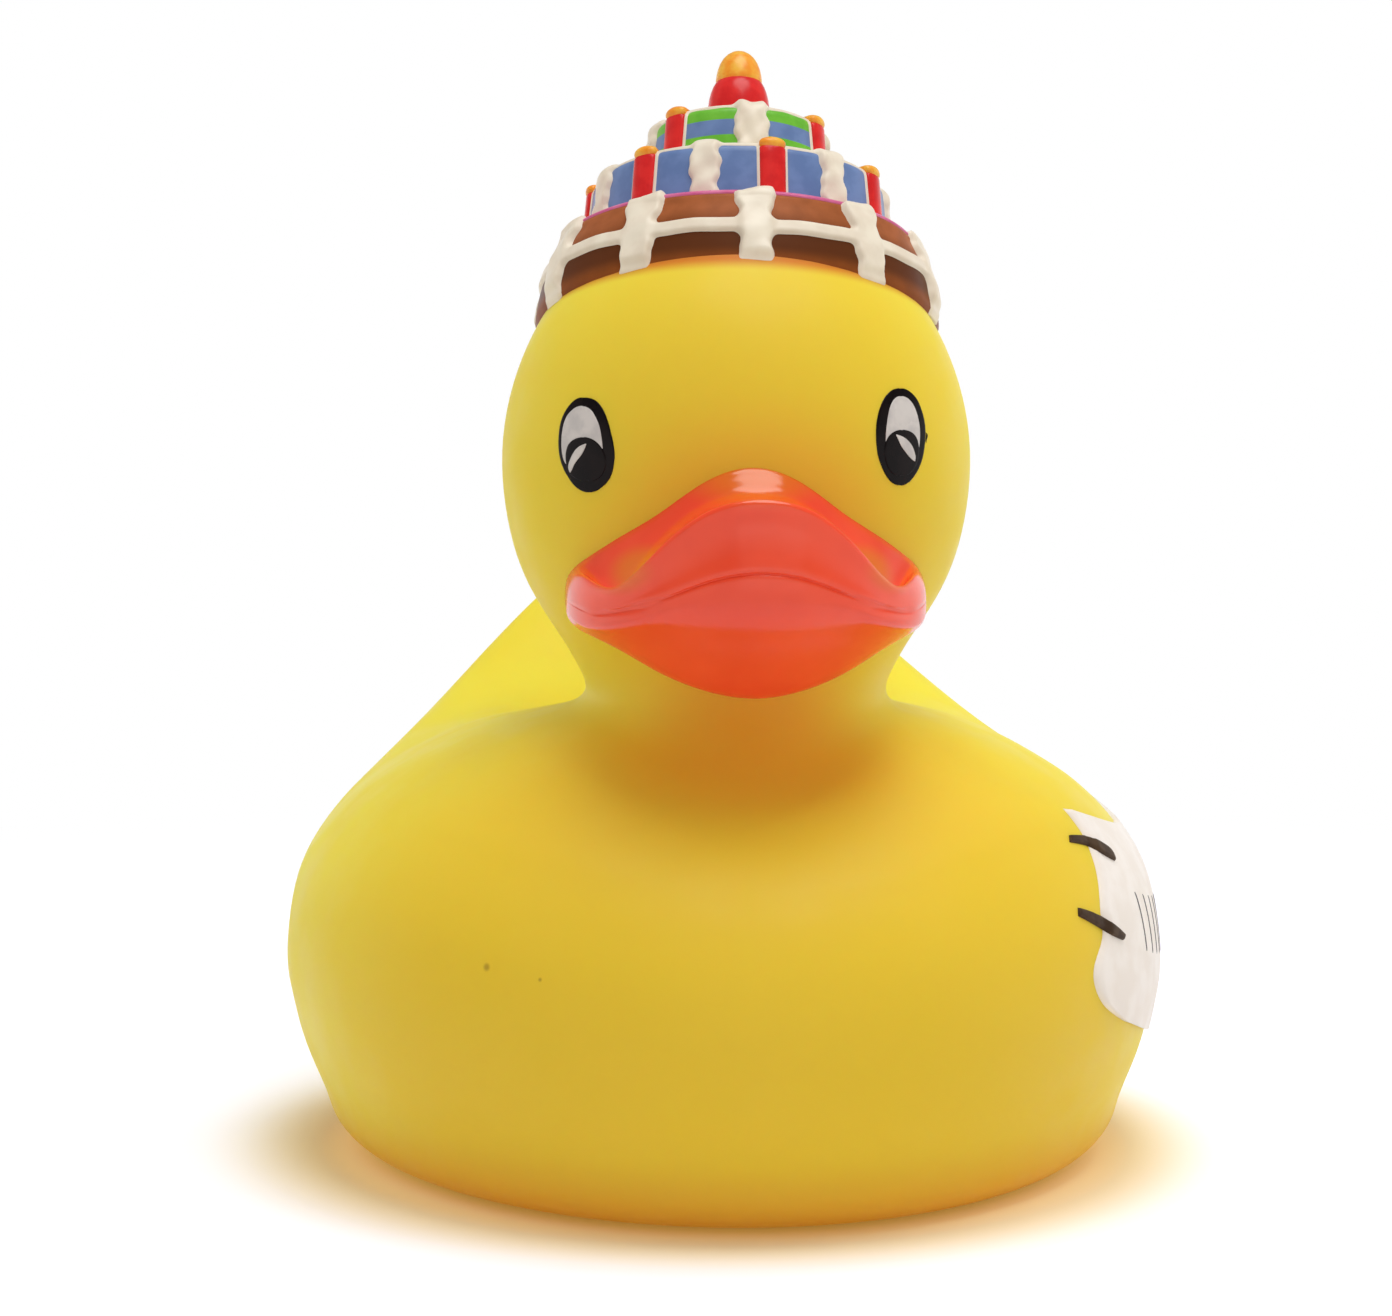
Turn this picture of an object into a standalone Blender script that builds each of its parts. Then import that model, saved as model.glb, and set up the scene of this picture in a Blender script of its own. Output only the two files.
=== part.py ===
"""A squeaking bath duck in soft vinyl that wears a three-tier cake as a hat.

The duck is one hollow moulding: body, upturned tail, head, bill, cake hat and a low label on its left
flank. A squeaker snaps into a hole in the base. It is a turned plastic plug with an air hole, and a
half-round block in the plug's bore, which clamps a thin reed across the way of the air.

The duck faces -Y, its left side is toward +X, and it stands on z = 0. Sizes are in millimetres, and
become metres where a mesh is written.
"""

import math

import bmesh
import bpy
import numpy as np
from mathutils import Matrix, Vector
from mathutils.bvhtree import BVHTree
from mathutils.geometry import interpolate_bezier

MM = 0.001

# Body: an egg, flat below, whose back end is drawn up into the tail
BODY_HALF_WIDTH = 37.6
BODY_REACH = 43.2
WIDEST_Z = 16.6
BODY_RISE = 22.8
BODY_DROP = 31.0
SHOULDER_FULLNESS = 0.88
FOOT_CORNER = 5.0
WALL = 2.2

# Tail: how far back and how high its tip is, where its underside leaves the floor, and how much the
# flanks draw in toward it. The saddle is the low point between the tail and the nape
TAIL_REACH = 42.6
TAIL_Z = 50.0
TAIL_TIP_RADIUS = 3.4
TAIL_FOOT_Y = 29.0
TAIL_FOOT_RUN = 4.4
TAIL_FOOT_RISE = 3.1
TAIL_TAPER = 0.11
SADDLE_Y = 15.5
SADDLE_Z = 31.4

# How far each curve of the back is pulled out of its start, and back from its end, as (y, z)
UNDERTAIL_PULLS = ((3.0, 11.0), (-2.6, -12.0))
SADDLE_PULLS = ((-8.0, -9.0), (6.0, 0.6))
NAPE_PULLS = ((-6.0, -0.6), (0.0, -5.0))

# Head: an upright egg that sinks a little into the body's crown, the face turned a touch to its right
HEAD_X = 0.4
HEAD_Y = -9.0
HEAD_HALF_WIDTH = 19.6
HEAD_HALF_DEPTH = 20.0
HEAD_RISE = 21.8
HEAD_SINK = 2.4
FACE_TURN = math.radians(-2.4)

# Neck: where the crown's curve leaves off at the sides and in front, and how deep the crease is cut
CROWN_SIDE_END = 15.3
CROWN_FRONT_END = 28.0
SIDE_CREASE_PULLS = (4.4, 4.6)
FRONT_CREASE_PULLS = (5.0, 3.6)
NAPE_OUT = 13.2
NAPE_DROP = 18.7

# Bill: half its width, how far its corners lie behind the brow, and how far its edges stand out from
# them. Its buried back is this share of its front's height, on each side of the middle
BILL_HALF_WIDTH = 14.3
CORNER_SETBACK = 8.0
CREST_REACH = 16.0
FRONT_REACH = 18.8
LIP_REACH = 17.9
CHIN_REACH = 11.0
CHIN_RUN = 5.0
EDGE_ROUND = 0.8
MOUTH_GROOVE = 0.45
MOUTH_HALF_HEIGHT = 0.7
ROOT_SINK = 1.5
BILL_WALL = 2.7
BILL_SINK = 6.0
BILL_BACK_SHARE = 0.3
BILL_ARC = 86
BILL_HOLLOW_ARC = 48

# Cake hat: three tiers on an axis that leans back and a touch to the left, icing and candles in relief
HAT_LEAN_BACK = math.radians(19.5)
HAT_LEAN_LEFT = math.radians(2.6)
HAT_SINK = 0.15
TIER_RADII = (16.15, 12.8, 7.7)
TIER_HEIGHTS = (6.35, 5.25, 5.3)
TIER_DRAFTS = (0.9, 0.4, 0.4)
TIER_TURNS = (0.9, -17.7, 2.1)
TIER_CORNER = 0.9
ICING_RELIEF = 0.35
BAND_HEIGHT = 1.5
BAND_EDGE = 0.3
FIRST_TIER_BULGE = 0.15
RIM_ROUND = 0.5
DRIP_WIDTHS = (3.1, 2.5, 3.0)
DRIP_RELIEFS = (0.6, 0.35, 0.35)
DRIPS_AROUND = (10, 7, 4)
CANDLES_AROUND = (0, 7, 4)
RIDGE_ROOT = 1.2
RIDGE_DROPS = (0.0, 0.4, 0.4)
SMALL_CANDLE_WIDTH = 2.3
SMALL_CANDLE_RELIEF = 0.45
SMALL_FLAME_RISE = 0.75
TOP_CANDLE_RADIUS = 2.65
TOP_CANDLE_HEIGHT = 4.5
TOP_FLAME_RADIUS = 1.9
TOP_FLAME_HEIGHT = 3.3

# Label on the left flank: its front end from top to bottom, as shares of the body's reach back from the
# middle and of its rise above the widest height. The rear end is the same one mirrored, and between
# them the sheet hangs down a little
LABEL_FRONT_END = (
    (-0.352, 0.592),
    (-0.410, 0.522),
    (-0.475, 0.412),
    (-0.565, 0.263),
    (-0.616, 0.149),
    (-0.637, 0.061),
    (-0.625, -0.018),
    (-0.583, -0.088),
    (-0.509, -0.145),
)
LABEL_MIDDLE = -0.093
LABEL_SAG = 3.2
LABEL_RELIEF = 0.4
LABEL_SINK = 1.5
LABEL_COLUMNS = 12

# Squeaker: a plug in the base, built outward from its bore, with a flange on each side of the wall
BORE_RADIUS = 3.6
TUBE_WALL = 1.6
PLUG_WALL = 3.2
INNER_FLANGE_LIP = 1.2
OUTER_FLANGE_LIP = 2.0
BOSS_MARGIN = 2.7
OUTER_FLANGE_HEIGHT = 1.2
FLOOR_GAP = 0.5
INNER_FLANGE_HEIGHT = 1.6
GRIP_THICKNESS = 2.6
TUBE_HEIGHT = 9.0
BORE_FLOOR_DROP = 0.6
AIR_HOLE_RADIUS = 1.1
PLUG_CHAMFER = 0.4
BLOCK_FACE = 0.6
BLOCK_DROP = 1.0
GROOVE_WIDTH = 2.4
GROOVE_DEPTH = 1.1
GROOVE_STOP = 2.0
REED_THICKNESS = 0.4
REED_WIDTH = 3.6
REED_LENGTH = 8.5
REED_CLAMPED = 3.4
REED_LIFT = 0.25
CLEARANCE = 0.3

BLOCK_STEPS = 14
SKIN_STEPS = 40
HOLLOW_STEPS = 24
BILL_COLUMNS = 24
HAT_STEPS = 48
PLUG_STEPS = 32

CROWN_Z = WIDEST_Z + BODY_RISE
HEAD_Z = CROWN_Z + HEAD_RISE - HEAD_SINK
BILL_CORNER_Y = HEAD_Y - HEAD_HALF_DEPTH + CORNER_SETBACK
TUBE_RADIUS = BORE_RADIUS + TUBE_WALL
PLUG_RADIUS = BORE_RADIUS + PLUG_WALL
INNER_FLANGE_RADIUS = PLUG_RADIUS + INNER_FLANGE_LIP
OUTER_FLANGE_RADIUS = PLUG_RADIUS + OUTER_FLANGE_LIP
BOSS_RADIUS = OUTER_FLANGE_RADIUS + BOSS_MARGIN


def material(name, colour, roughness):
    """A plain Principled material."""
    made = bpy.data.materials.new(name)
    made.use_nodes = True
    shader = made.node_tree.nodes["Principled BSDF"]
    shader.inputs["Base Color"].default_value = (*colour, 1.0)
    shader.inputs["Roughness"].default_value = roughness
    shader.inputs["Metallic"].default_value = 0.0
    return made


def add_object(name, bm, finish=None):
    """Write a bmesh in millimetres out as a smooth-shaded object in metres."""
    bmesh.ops.scale(bm, vec=(MM, MM, MM), verts=bm.verts)
    bmesh.ops.recalc_face_normals(bm, faces=bm.faces)
    mesh = bpy.data.meshes.new(name)
    bm.to_mesh(mesh)
    bm.free()
    mesh.shade_smooth()
    mesh.set_sharp_from_angle(angle=math.radians(40))
    placed = bpy.data.objects.new(name, mesh)
    bpy.context.scene.collection.objects.link(placed)
    if finish:
        mesh.materials.append(finish)
    return placed


def add_guide(name, bm, group):
    """Add a form that only cuts or joins another object."""
    guide = add_object(name, bm)
    guide.hide_render = True
    guide.display_type = "WIRE"
    bpy.context.scene.collection.objects.unlink(guide)
    group.objects.link(guide)
    return guide


def add_boolean(target, name, operation, other):
    """Join a collection to an object, or cut an object or a collection from it."""
    step = target.modifiers.new(name, "BOOLEAN")
    step.operation = operation
    step.solver = "EXACT"
    if isinstance(other, bpy.types.Collection):
        step.operand_type = "COLLECTION"
        step.collection = other
    else:
        step.object = other
    return step


def loft(rings):
    """Skin a row of equal rings of points, with a flat face over each end."""
    bm = bmesh.new()
    rows = [[bm.verts.new(point) for point in ring] for ring in rings]
    count = len(rows[0])
    for low, high in zip(rows, rows[1:]):
        for i in range(count):
            j = (i + 1) % count
            bm.faces.new((low[i], low[j], high[j], high[i]))
    bm.faces.new(reversed(rows[0]))
    bm.faces.new(rows[-1])
    return bm


def turned(profile, steps):
    """Spin an outline of (radius, height) points about Z. Each flat end on the axis is one face."""
    bm = bmesh.new()
    points = [bm.verts.new((radius, 0.0, height)) for radius, height in profile]
    for low, high in zip(points, points[1:]):
        bm.edges.new((low, high))
    bmesh.ops.spin(
        bm,
        geom=bm.verts[:] + bm.edges[:],
        cent=(0, 0, 0),
        axis=(0, 0, 1),
        angle=math.tau,
        steps=steps,
        use_merge=True,
    )
    bmesh.ops.remove_doubles(bm, verts=bm.verts, dist=1e-4)
    ends = (profile[:2], profile[:-3:-1])
    flat = [end[1] for end, beside in ends if end[0] == 0 and end[1] == beside[1]]
    centres = []
    for point in bm.verts:
        level = any(abs(point.co.z - height) < 1e-4 for height in flat)
        if level and point.co.xy.length < 1e-4:
            centres.append(point)
    bmesh.ops.dissolve_verts(bm, verts=centres)
    return bm


# The skin: rings from the foot to the top of the head

# Where the rings lie between the widest one and the neck, as shares of the shoulder's arc
SHOULDER_SHARES = (0, 0.2, 0.34, 0.42, 0.48, 0.54, 0.6, 0.69, 0.79, 0.9, 1)
HEAD_ANGLES = (50, 62, 75, 90, 105, 120, 135, 150, 160, 169, 176)
CREASE_RINGS = 4
LAST_UPRIGHT_RING = 9


def curve(start, start_pull, end_pull, end, count):
    """The last points of a smooth curve, pulled out of its start and into its end."""
    start = Vector(start)
    end = Vector(end)
    knots = (start, start + Vector(start_pull), end + Vector(end_pull), end)
    return [(point[0], point[1]) for point in interpolate_bezier(*knots, count + 1)[1:]]


def body_outline(reach, crown_end, fullness=1.0):
    """Points (out, z) of one upright outline of the body, from the foot to the end of its crown.

    A fullness below 1 makes the shoulder rounder than an ellipse.
    """
    drop_angle = -math.asin((WIDEST_Z - FOOT_CORNER) / BODY_DROP)
    wall_out = reach * math.cos(drop_angle)
    points = []
    for turn in (0, 30, 60):
        angle = math.radians(turn)
        out = wall_out - FOOT_CORNER * (1 - math.sin(angle))
        points.append((out, FOOT_CORNER * (1 - math.cos(angle))))
    for share in (1.0, 0.65, 0.3):
        angle = drop_angle * share
        points.append((reach * math.cos(angle), WIDEST_Z + BODY_DROP * math.sin(angle)))
    end = math.acos((crown_end / reach) ** (1 / fullness))
    for share in SHOULDER_SHARES:
        angle = end * share
        out = reach * math.cos(angle) ** fullness
        points.append((out, WIDEST_Z + BODY_RISE * math.sin(angle)))
    return points


def head_outline(reach, axis_out):
    """Points (out, z) of one upright outline of the head, from the neck to the top."""
    points = []
    for degrees in HEAD_ANGLES:
        angle = math.radians(degrees)
        points.append((axis_out + reach * math.sin(angle), HEAD_Z - HEAD_RISE * math.cos(angle)))
    return points


def crease_outline(crown, head, pulls):
    """Points of the crease at the neck, which runs on from the crown and turns up into the head."""
    start = Vector(crown[-1])
    end = Vector(head[0])
    out_of_crown = (start - Vector(crown[-2])).normalized()
    out_of_head = (end - Vector(head[1])).normalized()
    return curve(start, out_of_crown * pulls[0], out_of_head * pulls[1], end, CREASE_RINGS + 1)[:-1]


def back_outline(head):
    """Points (y, z) of the back: up under the tail, round its tip, down to the saddle and the nape."""
    points = []
    for degrees in (0, 30, 60, 90):
        angle = math.radians(degrees)
        run = TAIL_FOOT_RUN * math.sin(angle)
        points.append((TAIL_FOOT_Y + run, TAIL_FOOT_RISE * (1 - math.cos(angle))))
    tip = []
    for degrees in (-16, 24, 64, 108):
        angle = math.radians(degrees)
        out = TAIL_TIP_RADIUS * (math.cos(angle) - 1)
        up = TAIL_TIP_RADIUS * (math.sin(angle) - 1)
        tip.append((TAIL_REACH + out, TAIL_Z + up))
    saddle = (SADDLE_Y, SADDLE_Z)
    nape = (HEAD_Y + NAPE_OUT, HEAD_Z - NAPE_DROP)
    under_head = (nape[0] + 0.35, nape[1] + 1.5)
    points += curve(points[-1], *UNDERTAIL_PULLS, tip[0], 6)
    points += tip[1:]
    points += curve(tip[-1], *SADDLE_PULLS, saddle, 4)
    points += curve(saddle, *NAPE_PULLS, nape, 3)
    points.append(under_head)
    return points + head


def outlines():
    """The side, front and back outlines that every ring passes through, from foot to top."""
    side_crown = body_outline(BODY_HALF_WIDTH, CROWN_SIDE_END, SHOULDER_FULLNESS)
    side_head = head_outline(HEAD_HALF_WIDTH, 0.0)
    side = side_crown + crease_outline(side_crown, side_head, SIDE_CREASE_PULLS) + side_head
    chest = body_outline(BODY_REACH, CROWN_FRONT_END)
    brow = head_outline(HEAD_HALF_DEPTH, -HEAD_Y)
    front = chest + crease_outline(chest, brow, FRONT_CREASE_PULLS) + brow
    front = [(-out, z) for out, z in front]
    return side, front, back_outline(head_outline(HEAD_HALF_DEPTH, HEAD_Y))


def skin_rings(steps):
    """Rings of points up the duck's outside, each one an egg through its front, side and back."""
    side, front, back = outlines()
    neck = len(side) - len(HEAD_ANGLES) - 2
    rings = []
    for k in range(len(side)):
        share = min(max((k - LAST_UPRIGHT_RING) / (neck - LAST_UPRIGHT_RING), 0.0), 1.0)
        share = share * share * (3 - 2 * share)
        taper = (1 - share) * TAIL_TAPER
        middle = (front[k][0] + back[k][0]) / 2
        half = (front[k][0] - back[k][0]) / 2
        ring = []
        for i in range(steps):
            angle = math.tau * i / steps
            ahead = math.cos(angle)
            fore = max(ahead, 0.0) ** 3
            rear = max(-ahead, 0.0) ** 3
            x = share * HEAD_X + side[k][0] * math.sin(angle) * (1 - taper * rear)
            y = share * HEAD_Y + half * ahead + (middle - share * HEAD_Y) * ahead**2
            z = side[k][1] + (front[k][1] - side[k][1]) * fore + (back[k][1] - side[k][1]) * rear
            ring.append((x, y, z))
        rings.append(ring)
    return np.array(rings)


def inset_rings(rings, depth):
    """The same rings moved into the body by a wall's thickness, along the skin's normals."""
    up = np.gradient(rings, axis=0)
    round_about = np.roll(rings, -1, axis=1) - np.roll(rings, 1, axis=1)
    outward = np.cross(round_about, up)
    outward /= np.linalg.norm(outward, axis=2, keepdims=True)
    return rings - depth * outward


# The bill: upright slices across the face, each one a closed outline that passes through its edges


def smooth_row(values, angle):
    """A curve through values at 0, 15, 30 ... 90 degrees, level at 0 where the two sides meet."""
    knots = np.radians(15.0 * np.arange(-6, 7))
    mirrored = np.array(values[:0:-1] + values)
    count = len(knots)
    step = knots[1] - knots[0]
    system = np.eye(count)
    pull = np.zeros(count)
    for i in range(1, count - 1):
        system[i, i - 1 : i + 2] = (1, 4, 1)
        pull[i] = 6 * (mirrored[i - 1] - 2 * mirrored[i] + mirrored[i + 1]) / step**2
    bend = np.linalg.solve(system, pull)
    i = min(int((angle - knots[0]) / step), count - 2)
    a = (knots[i + 1] - angle) / step
    b = 1 - a
    straight = a * mirrored[i] + b * mirrored[i + 1]
    return straight + ((a**3 - a) * bend[i] + (b**3 - b) * bend[i + 1]) * step**2 / 6


# Heights above the head's centre of the bill's edges, from the middle of the face to a corner
ROOT_HEIGHTS = [0.3, -1.0, -3.5, -5.4, -7.0, -8.4, -10.3]
CREST_HEIGHTS = [-1.9, -2.5, -5.3, -8.5, -10.2, -10.4, -10.3]
MOUTH_HEIGHTS = [-7.1, -7.6, -9.4, -10.6, -11.2, -11.1, -10.3]
LIP_HEIGHTS = [-10.3, -10.4, -10.8, -12.0, -12.4, -11.6, -10.3]
CHIN_HEIGHTS = [-17.9, -17.4, -16.4, -14.9, -13.3, -12.1, -10.3]


def head_front(x, z):
    """The y of the head's front at a place on the face, or of its middle plane beside it."""
    inside = 1 - (x / HEAD_HALF_WIDTH) ** 2 - ((z - HEAD_Z) / HEAD_RISE) ** 2
    return HEAD_Y - HEAD_HALF_DEPTH * math.sqrt(max(inside, 0.0))


def bill_slice(angle):
    """One upright slice of the bill: its root, crest, front, mouth, lip, chin and foot.

    Every length along the slice shrinks with the cosine toward the corners, where the edges meet.
    """
    x = BILL_HALF_WIDTH * math.sin(angle)
    out = math.cos(angle)
    root_z = HEAD_Z + smooth_row(ROOT_HEIGHTS, abs(angle))
    crest_z = HEAD_Z + smooth_row(CREST_HEIGHTS, abs(angle))
    mouth_z = HEAD_Z + smooth_row(MOUTH_HEIGHTS, abs(angle))
    lip_z = HEAD_Z + smooth_row(LIP_HEIGHTS, abs(angle))
    chin_z = HEAD_Z + smooth_row(CHIN_HEIGHTS, abs(angle))
    root_y = head_front(x, root_z)
    crest_y = BILL_CORNER_Y - CREST_REACH * out
    front_y = BILL_CORNER_Y - FRONT_REACH * out
    lip_y = BILL_CORNER_Y - LIP_REACH * out
    chin_y = BILL_CORNER_Y - CHIN_REACH * out
    upper = crest_z - mouth_z
    chin = (chin_y, chin_z)
    below_lip = (0.4 * out, -0.45 * (lip_z - chin_z))
    before_chin = (-2.6 * out, 0.0)
    outline = [
        (root_y + ROOT_SINK, root_z - EDGE_ROUND * out),
        (root_y - 0.3, root_z),
        ((root_y + crest_y) / 2, (root_z + crest_z) / 2 - 0.5 * out),
        (crest_y, crest_z),
        (front_y + EDGE_ROUND * out, crest_z - 0.28 * upper),
        (front_y, mouth_z + 0.35 * upper),
        (front_y, mouth_z + MOUTH_HALF_HEIGHT * out),
        (front_y + MOUTH_GROOVE * out, mouth_z),
        (front_y + 0.2 * out, mouth_z - MOUTH_HALF_HEIGHT * out),
        (lip_y, lip_z),
        *curve((lip_y, lip_z), below_lip, before_chin, chin, 3),
        (chin_y + CHIN_RUN * out, chin_z + 0.5 * out),
    ]
    return [(x, y, z) for y, z in outline]


def bill(reach_degrees, wall=0.0):
    """The bill as a loft across the face, or its hollow if each slice shrinks by a wall."""
    reach = math.radians(reach_degrees)
    slices = []
    for angle in np.linspace(-reach, reach, BILL_COLUMNS + 1):
        outline = bill_slice(angle)
        x = outline[0][0]
        top = outline[1][2]
        foot = outline[-2][2]
        middle = (top + foot) / 2
        inner_y = HEAD_Y - BILL_SINK
        share = 1 - 2 * wall / (top - foot)
        root_y = outline[1][1]
        shrunk = []
        for _, y, z in outline:
            shrunk.append((x, root_y + (y - root_y) * share, middle + (z - middle) * share))
        back_half = BILL_BACK_SHARE * (top - foot) * share
        behind = [(x, inner_y, middle - back_half), (x, inner_y, middle + back_half)]
        slices.append(shrunk + behind)
    bm = loft(slices)
    bmesh.ops.translate(bm, vec=(HEAD_X, 0, 0), verts=bm.verts)
    turn = Matrix.Rotation(FACE_TURN, 3, "Z")
    bmesh.ops.rotate(bm, cent=(HEAD_X, HEAD_Y, 0), matrix=turn, verts=bm.verts)
    return bm


# The cake hat, in a frame whose Z leans back from the middle of the head


def tier_feet():
    """The height of each tier's foot along the hat's axis, and of the top of the last one."""
    across = TIER_RADII[0] / ((HEAD_HALF_WIDTH + HEAD_HALF_DEPTH) / 2)
    foot = HEAD_RISE * math.sqrt(1 - across**2) - HAT_SINK
    feet = [foot]
    for height in TIER_HEIGHTS:
        feet.append(feet[-1] + height)
    return feet


def cake_outline():
    """The hat's turned outline, from inside the head to the top of the last tier."""
    feet = tier_feet()
    points = [(0.0, feet[0] - 4.0), (TIER_RADII[0] - 3.0, feet[0] - 1.6)]
    for k, radius in enumerate(TIER_RADII):
        top = feet[k + 1]
        top_radius = radius - TIER_DRAFTS[k]
        if k == 0:
            band_foot = (feet[0] + top - BAND_HEIGHT) / 2
            band_top = band_foot + BAND_HEIGHT
            bulge = radius + FIRST_TIER_BULGE
            band = bulge + ICING_RELIEF
            points += [
                (radius - RIM_ROUND, feet[0] - 0.4 * RIM_ROUND),
                (radius, feet[0] + 0.8 * RIM_ROUND),
                (bulge, band_foot - BAND_EDGE),
                (band, band_foot),
                (band, band_top),
                (bulge, band_top + BAND_EDGE),
            ]
        else:
            points.append((radius, feet[k]))
        points += [
            (top_radius, top - TIER_CORNER),
            (top_radius - 0.3 * TIER_CORNER, top - 0.3 * TIER_CORNER),
            (top_radius - TIER_CORNER, top),
        ]
    points.append((0.0, feet[-1]))
    return points


def top_candle_outline():
    """The candle on the top tier, with rounded shoulders under a domed flame."""
    foot = tier_feet()[-1]
    top = foot + TOP_CANDLE_HEIGHT
    points = [
        (0.0, foot - 1.0),
        (TOP_CANDLE_RADIUS + 0.05, foot - 1.0),
        (TOP_CANDLE_RADIUS, foot + 0.5 * TOP_CANDLE_HEIGHT),
        (TOP_CANDLE_RADIUS - 0.2, top - 0.7),
        (TOP_FLAME_RADIUS + 0.05, top),
        (TOP_FLAME_RADIUS, top + 0.3 * TOP_FLAME_HEIGHT),
    ]
    dome_foot = top + 0.4 * TOP_FLAME_HEIGHT
    for degrees in (20, 45, 70, 90):
        angle = math.radians(degrees)
        out = TOP_FLAME_RADIUS * math.cos(angle)
        points.append((out, dome_foot + 0.6 * TOP_FLAME_HEIGHT * math.sin(angle)))
    points[-1] = (0.0, top + TOP_FLAME_HEIGHT)
    return points


def upright_ridge(turn, levels, width, relief):
    """A low rounded ridge up a tier's wall, through (height, radius, share of the width) levels."""
    half = width / 2
    outline = (
        (-half, -RIDGE_ROOT),
        (-half, 0.3 * relief),
        (-0.6 * half, relief),
        (0.6 * half, relief),
        (half, 0.3 * relief),
        (half, -RIDGE_ROOT),
    )
    rings = []
    for height, radius, share in levels:
        rings.append([(across * share, -(radius + out), height) for across, out in outline])
    bm = loft(rings)
    bmesh.ops.rotate(bm, cent=(0, 0, 0), matrix=Matrix.Rotation(turn, 3, "Z"), verts=bm.verts)
    return bm


def around(count, start):
    """Turns spaced evenly about the hat from a start."""
    return [start + math.tau * i / count for i in range(count)]


def place_on_hat(bm):
    """Move a form from the hat's frame to its place on the head."""
    back = Matrix.Rotation(-HAT_LEAN_BACK, 4, "X")
    left = Matrix.Rotation(HAT_LEAN_LEFT, 4, "Y")
    seat = Matrix.Translation((HEAD_X, HEAD_Y, HEAD_Z))
    bmesh.ops.transform(bm, matrix=seat @ left @ back, verts=bm.verts)


def build_hat(group):
    """The tiers, the icing that runs down them, and the candles."""
    cake = turned(cake_outline(), HAT_STEPS)
    place_on_hat(cake)
    add_guide("cake_tiers", cake, group)
    candle = turned(top_candle_outline(), HAT_STEPS // 3)
    place_on_hat(candle)
    add_guide("top_candle", candle, group)

    feet = tier_feet()
    for k, radius in enumerate(TIER_RADII):
        top_radius = radius - TIER_DRAFTS[k]
        first = math.radians(TIER_TURNS[k])
        foot = feet[k] - RIDGE_DROPS[k]
        top = feet[k + 1]
        drip_levels = (
            (foot, radius, 1.0),
            (top - 0.7, top_radius, 1.0),
            (top - 0.1, top_radius - 0.5, 0.8),
        )
        for i, turn in enumerate(around(DRIPS_AROUND[k], first)):
            drip = upright_ridge(turn, drip_levels, DRIP_WIDTHS[k], DRIP_RELIEFS[k])
            place_on_hat(drip)
            add_guide(f"drip_{k + 1}_{i + 1}", drip, group)
        if not CANDLES_AROUND[k]:
            continue
        candle_levels = (
            (foot, radius, 1.0),
            (top - 0.3, top_radius, 1.0),
            (top + 0.4 * SMALL_FLAME_RISE, top_radius - 0.1, 0.8),
            (top + SMALL_FLAME_RISE, top_radius - 0.45, 0.45),
        )
        between_drips = first + math.pi / CANDLES_AROUND[k]
        for i, turn in enumerate(around(CANDLES_AROUND[k], between_drips)):
            candle = upright_ridge(turn, candle_levels, SMALL_CANDLE_WIDTH, SMALL_CANDLE_RELIEF)
            place_on_hat(candle)
            add_guide(f"candle_{k + 1}_{i + 1}", candle, group)


def hat_hollow():
    """The space inside the lower two tiers, a wall's thickness in from their outside."""
    feet = tier_feet()
    points = [
        (0.0, feet[0] - 6.0),
        (TIER_RADII[0] - WALL - 3.4, feet[0] - 1.5),
        (TIER_RADII[1] - WALL - 1.2, feet[1] - 1.0),
        (TIER_RADII[1] - WALL - 1.5, feet[2] - WALL),
        (TIER_RADII[2] - WALL, feet[2] - WALL + 0.4),
        (TIER_RADII[2] - WALL - TIER_DRAFTS[2], feet[3] - WALL),
        (0.0, feet[3] - WALL),
    ]
    bm = turned(points, HAT_STEPS // 2)
    place_on_hat(bm)
    return bm


# The label: a sheet bent to the flank


def build_label(group, rings):
    """A banner raised on the left flank, from its front end to the mirrored rear one."""
    skin = loft(rings)
    flank = BVHTree.FromBMesh(skin)
    skin.free()
    from_outside = 2 * BODY_HALF_WIDTH
    bm = bmesh.new()
    columns = []
    for i in range(LABEL_COLUMNS + 1):
        share = i / LABEL_COLUMNS
        hang = LABEL_SAG * 4 * share * (1 - share)
        column = []
        for back, up in LABEL_FRONT_END:
            y = BODY_REACH * (back + 2 * share * (LABEL_MIDDLE - back))
            z = WIDEST_Z + BODY_RISE * up - hang
            x = flank.ray_cast(Vector((from_outside, y, z)), Vector((-1, 0, 0)))[0].x
            column.append(bm.verts.new((x + LABEL_RELIEF, y, z)))
        columns.append(column)
    for near, far in zip(columns, columns[1:]):
        for j in range(len(near) - 1):
            bm.faces.new((near[j], far[j], far[j + 1], near[j + 1]))
    thickened = bmesh.ops.extrude_face_region(bm, geom=bm.faces[:])
    inner = [part for part in thickened["geom"] if isinstance(part, bmesh.types.BMVert)]
    bmesh.ops.translate(bm, vec=(-LABEL_RELIEF - LABEL_SINK, 0, 0), verts=inner)
    add_guide("label", bm, group)


# Squeaker: its pieces stand on an empty at the foot of the plug, and heights are counted from there

GRIP_FOOT = OUTER_FLANGE_HEIGHT + CLEARANCE
GRIP_TOP = GRIP_FOOT + GRIP_THICKNESS
INNER_FLANGE_FOOT = GRIP_TOP + CLEARANCE
INNER_FLANGE_TOP = INNER_FLANGE_FOOT + INNER_FLANGE_HEIGHT
TUBE_TOP = INNER_FLANGE_TOP + TUBE_HEIGHT
BORE_FOOT = GRIP_TOP - BORE_FLOOR_DROP


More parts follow.
